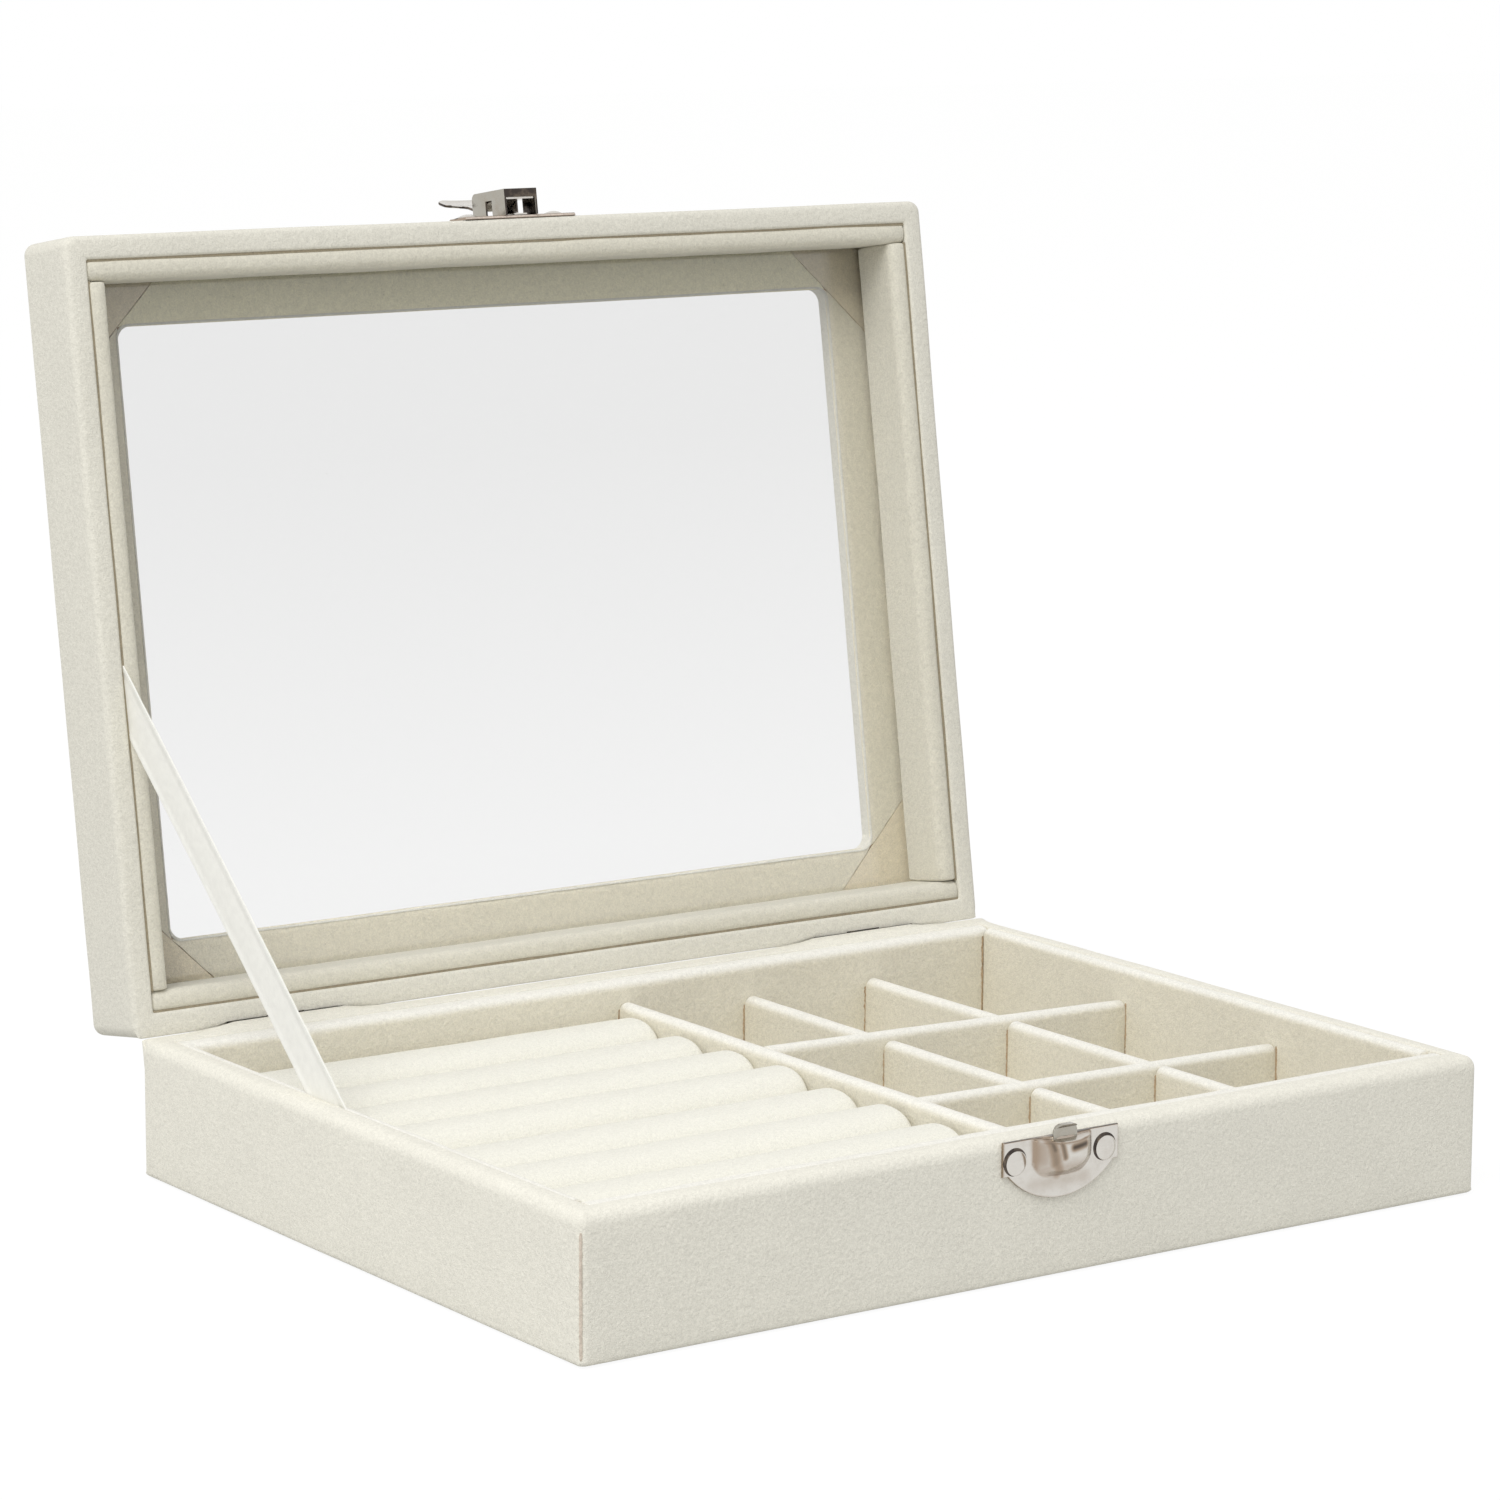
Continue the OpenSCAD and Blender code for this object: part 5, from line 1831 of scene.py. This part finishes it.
@dataclass(kw_only=True)
class Latch(Fitting):
    """The latch on the lid: a plate, a housing, a spring and the press lever."""

    body = Body.LID
    pose: LidPose
    lever_half: float = 3.2
    thumb_half: float = 7.0
    thumb_corner: float = 1.5
    thumb_reach: float = 6.2
    thumb_flare: float = 3.0
    lever_sheet: float = 0.5
    lever_curl: float = -0.3
    spring_half: float = 1.5
    spring_sheet: float = 0.3
    bevel: float = 0.18
    bevel_angle: float = 35.0
    cut_band: tuple = (0.25, 0.8)
    under_turns: tuple = (-0.6, -0.3)
    lever_path: tuple = ((0.5, 3.75), (7.5, 3.75), (11.3, 1.9), (17.2, 3.75), (20.6, 4.75), (21.0, 5.1))
    spring_path: tuple = ((0.6, 0.62), (3.0, 0.62), (5.0, 1.35), (8.2, 2.9))

    def lever(self, place: Placer) -> None:
        """Bend the press lever, with its wide thumb tab.

        Args:
            place: maps across, out and along to the piece's place.
        """
        path, corner = smoothed(self.lever_path), self.thumb_corner
        total = sum(math.hypot(b[0] - a[0], b[1] - a[1]) for a, b in zip(path, path[1:]))

        def half_width(gone: float) -> float:
            """Half the lever's width, which flares to the tab and rounds at its corners.

            Args:
                gone: the distance along the lever.

            Returns:
                Half its width there.
            """
            flare = soft_step((gone - total + self.thumb_reach) / self.thumb_flare)
            half = self.lever_half + (self.thumb_half - self.lever_half) * flare
            over = max(0.0, corner - (total - gone))
            return half - corner + math.sqrt(max(0.0, corner ** 2 - over ** 2))

        lever = strip_metal("press_lever", path, half_width, self.lever_sheet, place, self.lever_curl)
        self.pose.open(lever)
        self.keep(lever, PLATE, "latch_lever", body=Body.LEVER)
        cut = [int(abs(face.normal.x) > self.edge_turn) for face in lever.data.polygons]
        self.face_slots(lever, cut, CUT_EDGE_AND_SHADE_METAL)

    def housing(self) -> None:
        """Round the edges of the housing as it was built, and give its inside and its mouth near-black metal
        as painted shade.
        """
        def merge(build: bmesh.types.BMesh) -> None:
            """Merge the flat faces' triangles."""
            bmesh.ops.dissolve_limit(build, angle_limit=math.radians(1), verts=build.verts, edges=build.edges)

        housing = node_copy("latch_housing", "latch_channel", merge)
        bevel = housing.modifiers.new("rounding", "BEVEL")
        bevel.width, bevel.segments = self.bevel * MM, 3
        bevel.limit_method, bevel.angle_limit = "ANGLE", math.radians(self.bevel_angle)
        self.keep(settled(housing), CASE_METAL, "latch_housing")
        middle = sum((Vector(corner) for corner in housing.bound_box), Vector()) / 8
        # The inside faces and the mouth take near-black metal: painted shade.
        inner = [int((middle - face.center).dot(face.normal) > 0.1 * MM or face.normal.y < -0.7)
                 for face in housing.data.polygons]
        self.face_slots(housing, inner, CUT_EDGE_AND_SHADE_METAL)

    def build(self) -> None:
        """Make the latch."""
        place, slots = front_face(1, -SIZES.lid_shift), []
        (inner, outer), (facing_down, turning) = self.cut_band, self.under_turns
        plate = self.plate("latch_pressing", place)
        # Faces that turn down take near-black metal, painted shade under the plate's edge, apart from a
        # burnished band in the cut edge.
        for face in plate.data.polygons:
            out, up = -SIZES.depth / 2 - face.center.y / MM, face.normal.z
            cut = 1 if inner * self.metal < out < outer * self.metal else 2
            slots.append(cut if up < facing_down else 2 * int(up < turning))
        self.keep(self.pose.open(plate), PLATE, "latch_plate")
        self.face_slots(plate, slots, BURNISHED, CUT_EDGE_AND_SHADE_METAL)
        self.keep(self.pose.open(self.rivets("latch_rivet_pair", place)), PLATE, "latch_rivets")
        self.keep(self.pose.open(self.rivet_shadow_rings("latch_rivet_gaps", place)), CUT_EDGE_AND_SHADE_METAL)
        self.housing()
        foot = smoothed(self.spring_path, rounds=12)
        spring = strip_metal("press_spring", foot, lambda gone: self.spring_half, self.spring_sheet, place)
        self.keep(self.pose.open(spring), PLATE, "latch_spring")
        self.lever(place)


@dataclass
class StayRibbon:
    """The ribbon that stops the lid: a straight woven run with a glued tail at each end."""

    pose: LidPose
    width: float = 9.0
    selvedge: float = 0.7
    seam: float = 1.0
    base_reach: float = 61.7
    lid_reach: float = 63.8
    tail: float = 5.0
    cup: float = 0.25

    def ends(self) -> tuple[Vector, Vector]:
        """Where the ribbon's middle line goes into its two seams.

        Returns:
            The place in the base's seam and the one in the lid's, in mm.
        """
        cos, sin = math.cos(self.pose.angle), math.sin(self.pose.angle)
        x, back, rim = -SIZES.width / 2 + SIZES.wall + 0.3, SIZES.depth / 2, SIZES.base_height
        low = Vector((x, back - self.base_reach, rim - self.seam))
        high = Vector((x + SIZES.lid_shift, back - self.lid_reach * cos + self.seam * sin,
                       rim + self.lid_reach * sin + self.seam * cos))
        return low, high

    def section(self) -> list[tuple[float, float]]:
        """The ribbon's cross-section, a little thicker at its selvedges.

        Returns:
            Its points, as (across, face).
        """
        half, selvedge = self.width / 2, self.selvedge
        edge = [(-half, -0.16), (-half, 0.16), (-half + selvedge, 0.19), (-half + selvedge + 0.15, 0.1)]
        section = edge + [(share * half, 0.1) for share in (-0.6, -0.3, 0.0, 0.3, 0.6)]
        section += [(-y, z) for y, z in reversed(edge)]
        return section + [(y, -z) for y, z in reversed(section[1:-1])]

    def build(self) -> None:
        """Weave the ribbon, say how long it is, and run it straight between the base and the lid."""
        low, high = self.ends()
        along = (high - low).normalized()
        face = (Vector((1, 0, 0)) - along * along.x).normalized()
        across, half, loops = along.cross(face), self.width / 2, []
        run = (high - low).length + 2 * self.tail
        for gone in spaced(0, run, 0.8):
            loops.append([])
            for y, z in self.section():
                ruffle = waver(Vector((gone, y * 4, 0)), 5, 0.05, 90)
                cup = self.cup * math.sin(math.pi * gone / run) * (y / half) ** 2
                loops[-1].append(low + along * (gone - self.tail) + across * y + face * (z + ruffle + cup))
        ribbon = tube("ribbon_stay", loops, 60)
        chart = ribbon.data.uv_layers.new(name="UVMap")
        for loop in ribbon.data.loops:
            spot = ribbon.data.vertices[loop.vertex_index].co / MM - low
            chart.data[loop.index].uv = ((spot.dot(along) + self.tail) / 10,
                                         spot.dot(across) / self.width + 0.5)
        RIBBON.dress(ribbon)
        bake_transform(ribbon)
        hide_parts("stay_ribbon")
        LOG.info("ribbon_stay: %.1f mm long", run)


# ---- studio ----


@dataclass
class Studio:
    """A pale floor, soft light and the camera."""

    lens: float = 119.98
    camera_place: tuple = (-533.57, -740.56, 242.84)
    yaw: float = 35.092
    pitch: float = 9.924
    roll: float = 0.233
    fill: float = 0.7
    floor_half: float = 4.0
    floor_colour: tuple = (0.6, 0.6, 0.59, 1)
    floor_glow: float = 1.09
    floor_share: float = 0.86
    lamp_place: tuple = (-0.9, -0.5, 1.3)
    lamp_target: tuple = (0, 0, 0.05)
    lamp_size: float = 0.9
    lamp_power: float = 13.0

    def camera(self) -> None:
        """Stand the camera where it looks at the box from the front left."""
        yaw, pitch, roll = (math.radians(angle) for angle in (self.yaw, self.pitch, self.roll))
        forward = Vector((math.sin(yaw) * math.cos(pitch), math.cos(yaw) * math.cos(pitch), -math.sin(pitch)))
        level = Vector((math.cos(yaw), -math.sin(yaw), 0))
        upright = level.cross(forward)
        right = level * math.cos(roll) + upright * math.sin(roll)
        up = upright * math.cos(roll) - level * math.sin(roll)
        made = bpy.data.cameras.new("studio_camera")
        made.sensor_width, made.lens = 36, self.lens
        made.clip_start, made.clip_end = 0.01, 20
        holder = linked("studio_camera", made)
        turned = Matrix((right, up, -forward)).transposed().to_4x4()
        holder.matrix_world = Matrix.Translation(Vector(self.camera_place) * MM) @ turned
        bpy.context.scene.camera = holder

    def seen_directly(self, tree: ShaderTree) -> Socket:
        """A mask that tells what is seen from what is lit.

        Args:
            tree: the helper for the tree that the mask is added to.

        Returns:
            1 for what the camera, metal and glass see, and 0 for light.
        """
        path = tree.add("LightPath").outputs
        seen = tree.maths("MAXIMUM", path["Is Camera Ray"], path["Is Glossy Ray"])
        return tree.maths("MAXIMUM", seen, path["Is Transmission Ray"])

    def world(self) -> None:
        """Light the box evenly from a pale surrounding that shows as white."""
        made = bpy.data.worlds.new("pale_surround")
        made.use_nodes = True
        tree = ShaderTree(made.node_tree)
        strength = tree.span(self.seen_directly(tree), 0, 1, self.fill, 1.0)
        tree.feed(made.node_tree.nodes["Background"], Color=(1, 1, 1, 1), Strength=strength)
        bpy.context.scene.world = made

    def floor(self) -> None:
        """Lay a pale floor that shows as white and keeps a faint shadow."""
        mesh, far = bpy.data.meshes.new("studio_floor"), self.floor_half
        mesh.from_pydata([(-far, -far, 0), (far, -far, 0), (far, far, 0), (-far, far, 0)], [], [(0, 1, 2, 3)])
        made = bpy.data.materials.new("pale_floor")
        made.use_nodes = True
        tree, nodes = ShaderTree(made.node_tree), made.node_tree.nodes
        shader = tree.feed(nodes["Principled BSDF"], Base_Color=self.floor_colour, Roughness=0.9,
                           Specular_IOR_Level=0.0)
        glow = tree.feed(tree.add("Emission"), Strength=self.floor_glow)
        mix = tree.add("MixShader")
        share = tree.times(self.seen_directly(tree), self.floor_share)
        for value, socket in zip((share, shader.outputs[0], glow.outputs[0]), mix.inputs):
            tree.join(value, socket)
        tree.join(mix.outputs[0], nodes["Material Output"].inputs["Surface"])
        mesh.materials.append(made)
        linked("studio_floor", mesh)

    def lamp(self) -> None:
        """Hang a square soft lamp over the box's front left."""
        place, target = Vector(self.lamp_place), Vector(self.lamp_target)
        light = bpy.data.lights.new("top_softbox", "AREA")
        light.shape, light.size, light.energy = "SQUARE", self.lamp_size, self.lamp_power
        turned = (target - place).to_track_quat("-Z", "Y").to_matrix().to_4x4()
        linked("top_softbox", light).matrix_world = Matrix.Translation(place) @ turned

    def build(self) -> None:
        """Set the camera, the light and the floor, and how colours are shown."""
        bpy.context.scene.view_settings.view_transform = "Standard"
        self.camera()
        self.world()
        self.floor()
        self.lamp()


# ---- the whole ----


def main() -> None:
    """Build the studio and the box."""
    logging.basicConfig(level=logging.INFO, format="%(name)s %(message)s")
    pose = LidPose()
    for part in (Studio(), StayRibbon(pose), BaseShell(), Dividers(), GlueSeams(), RollBed(), LidShell(pose),
                 Hinges(), Keeper(), Latch(pose=pose)):
        part.build()


if __name__ == "__main__":
    main()
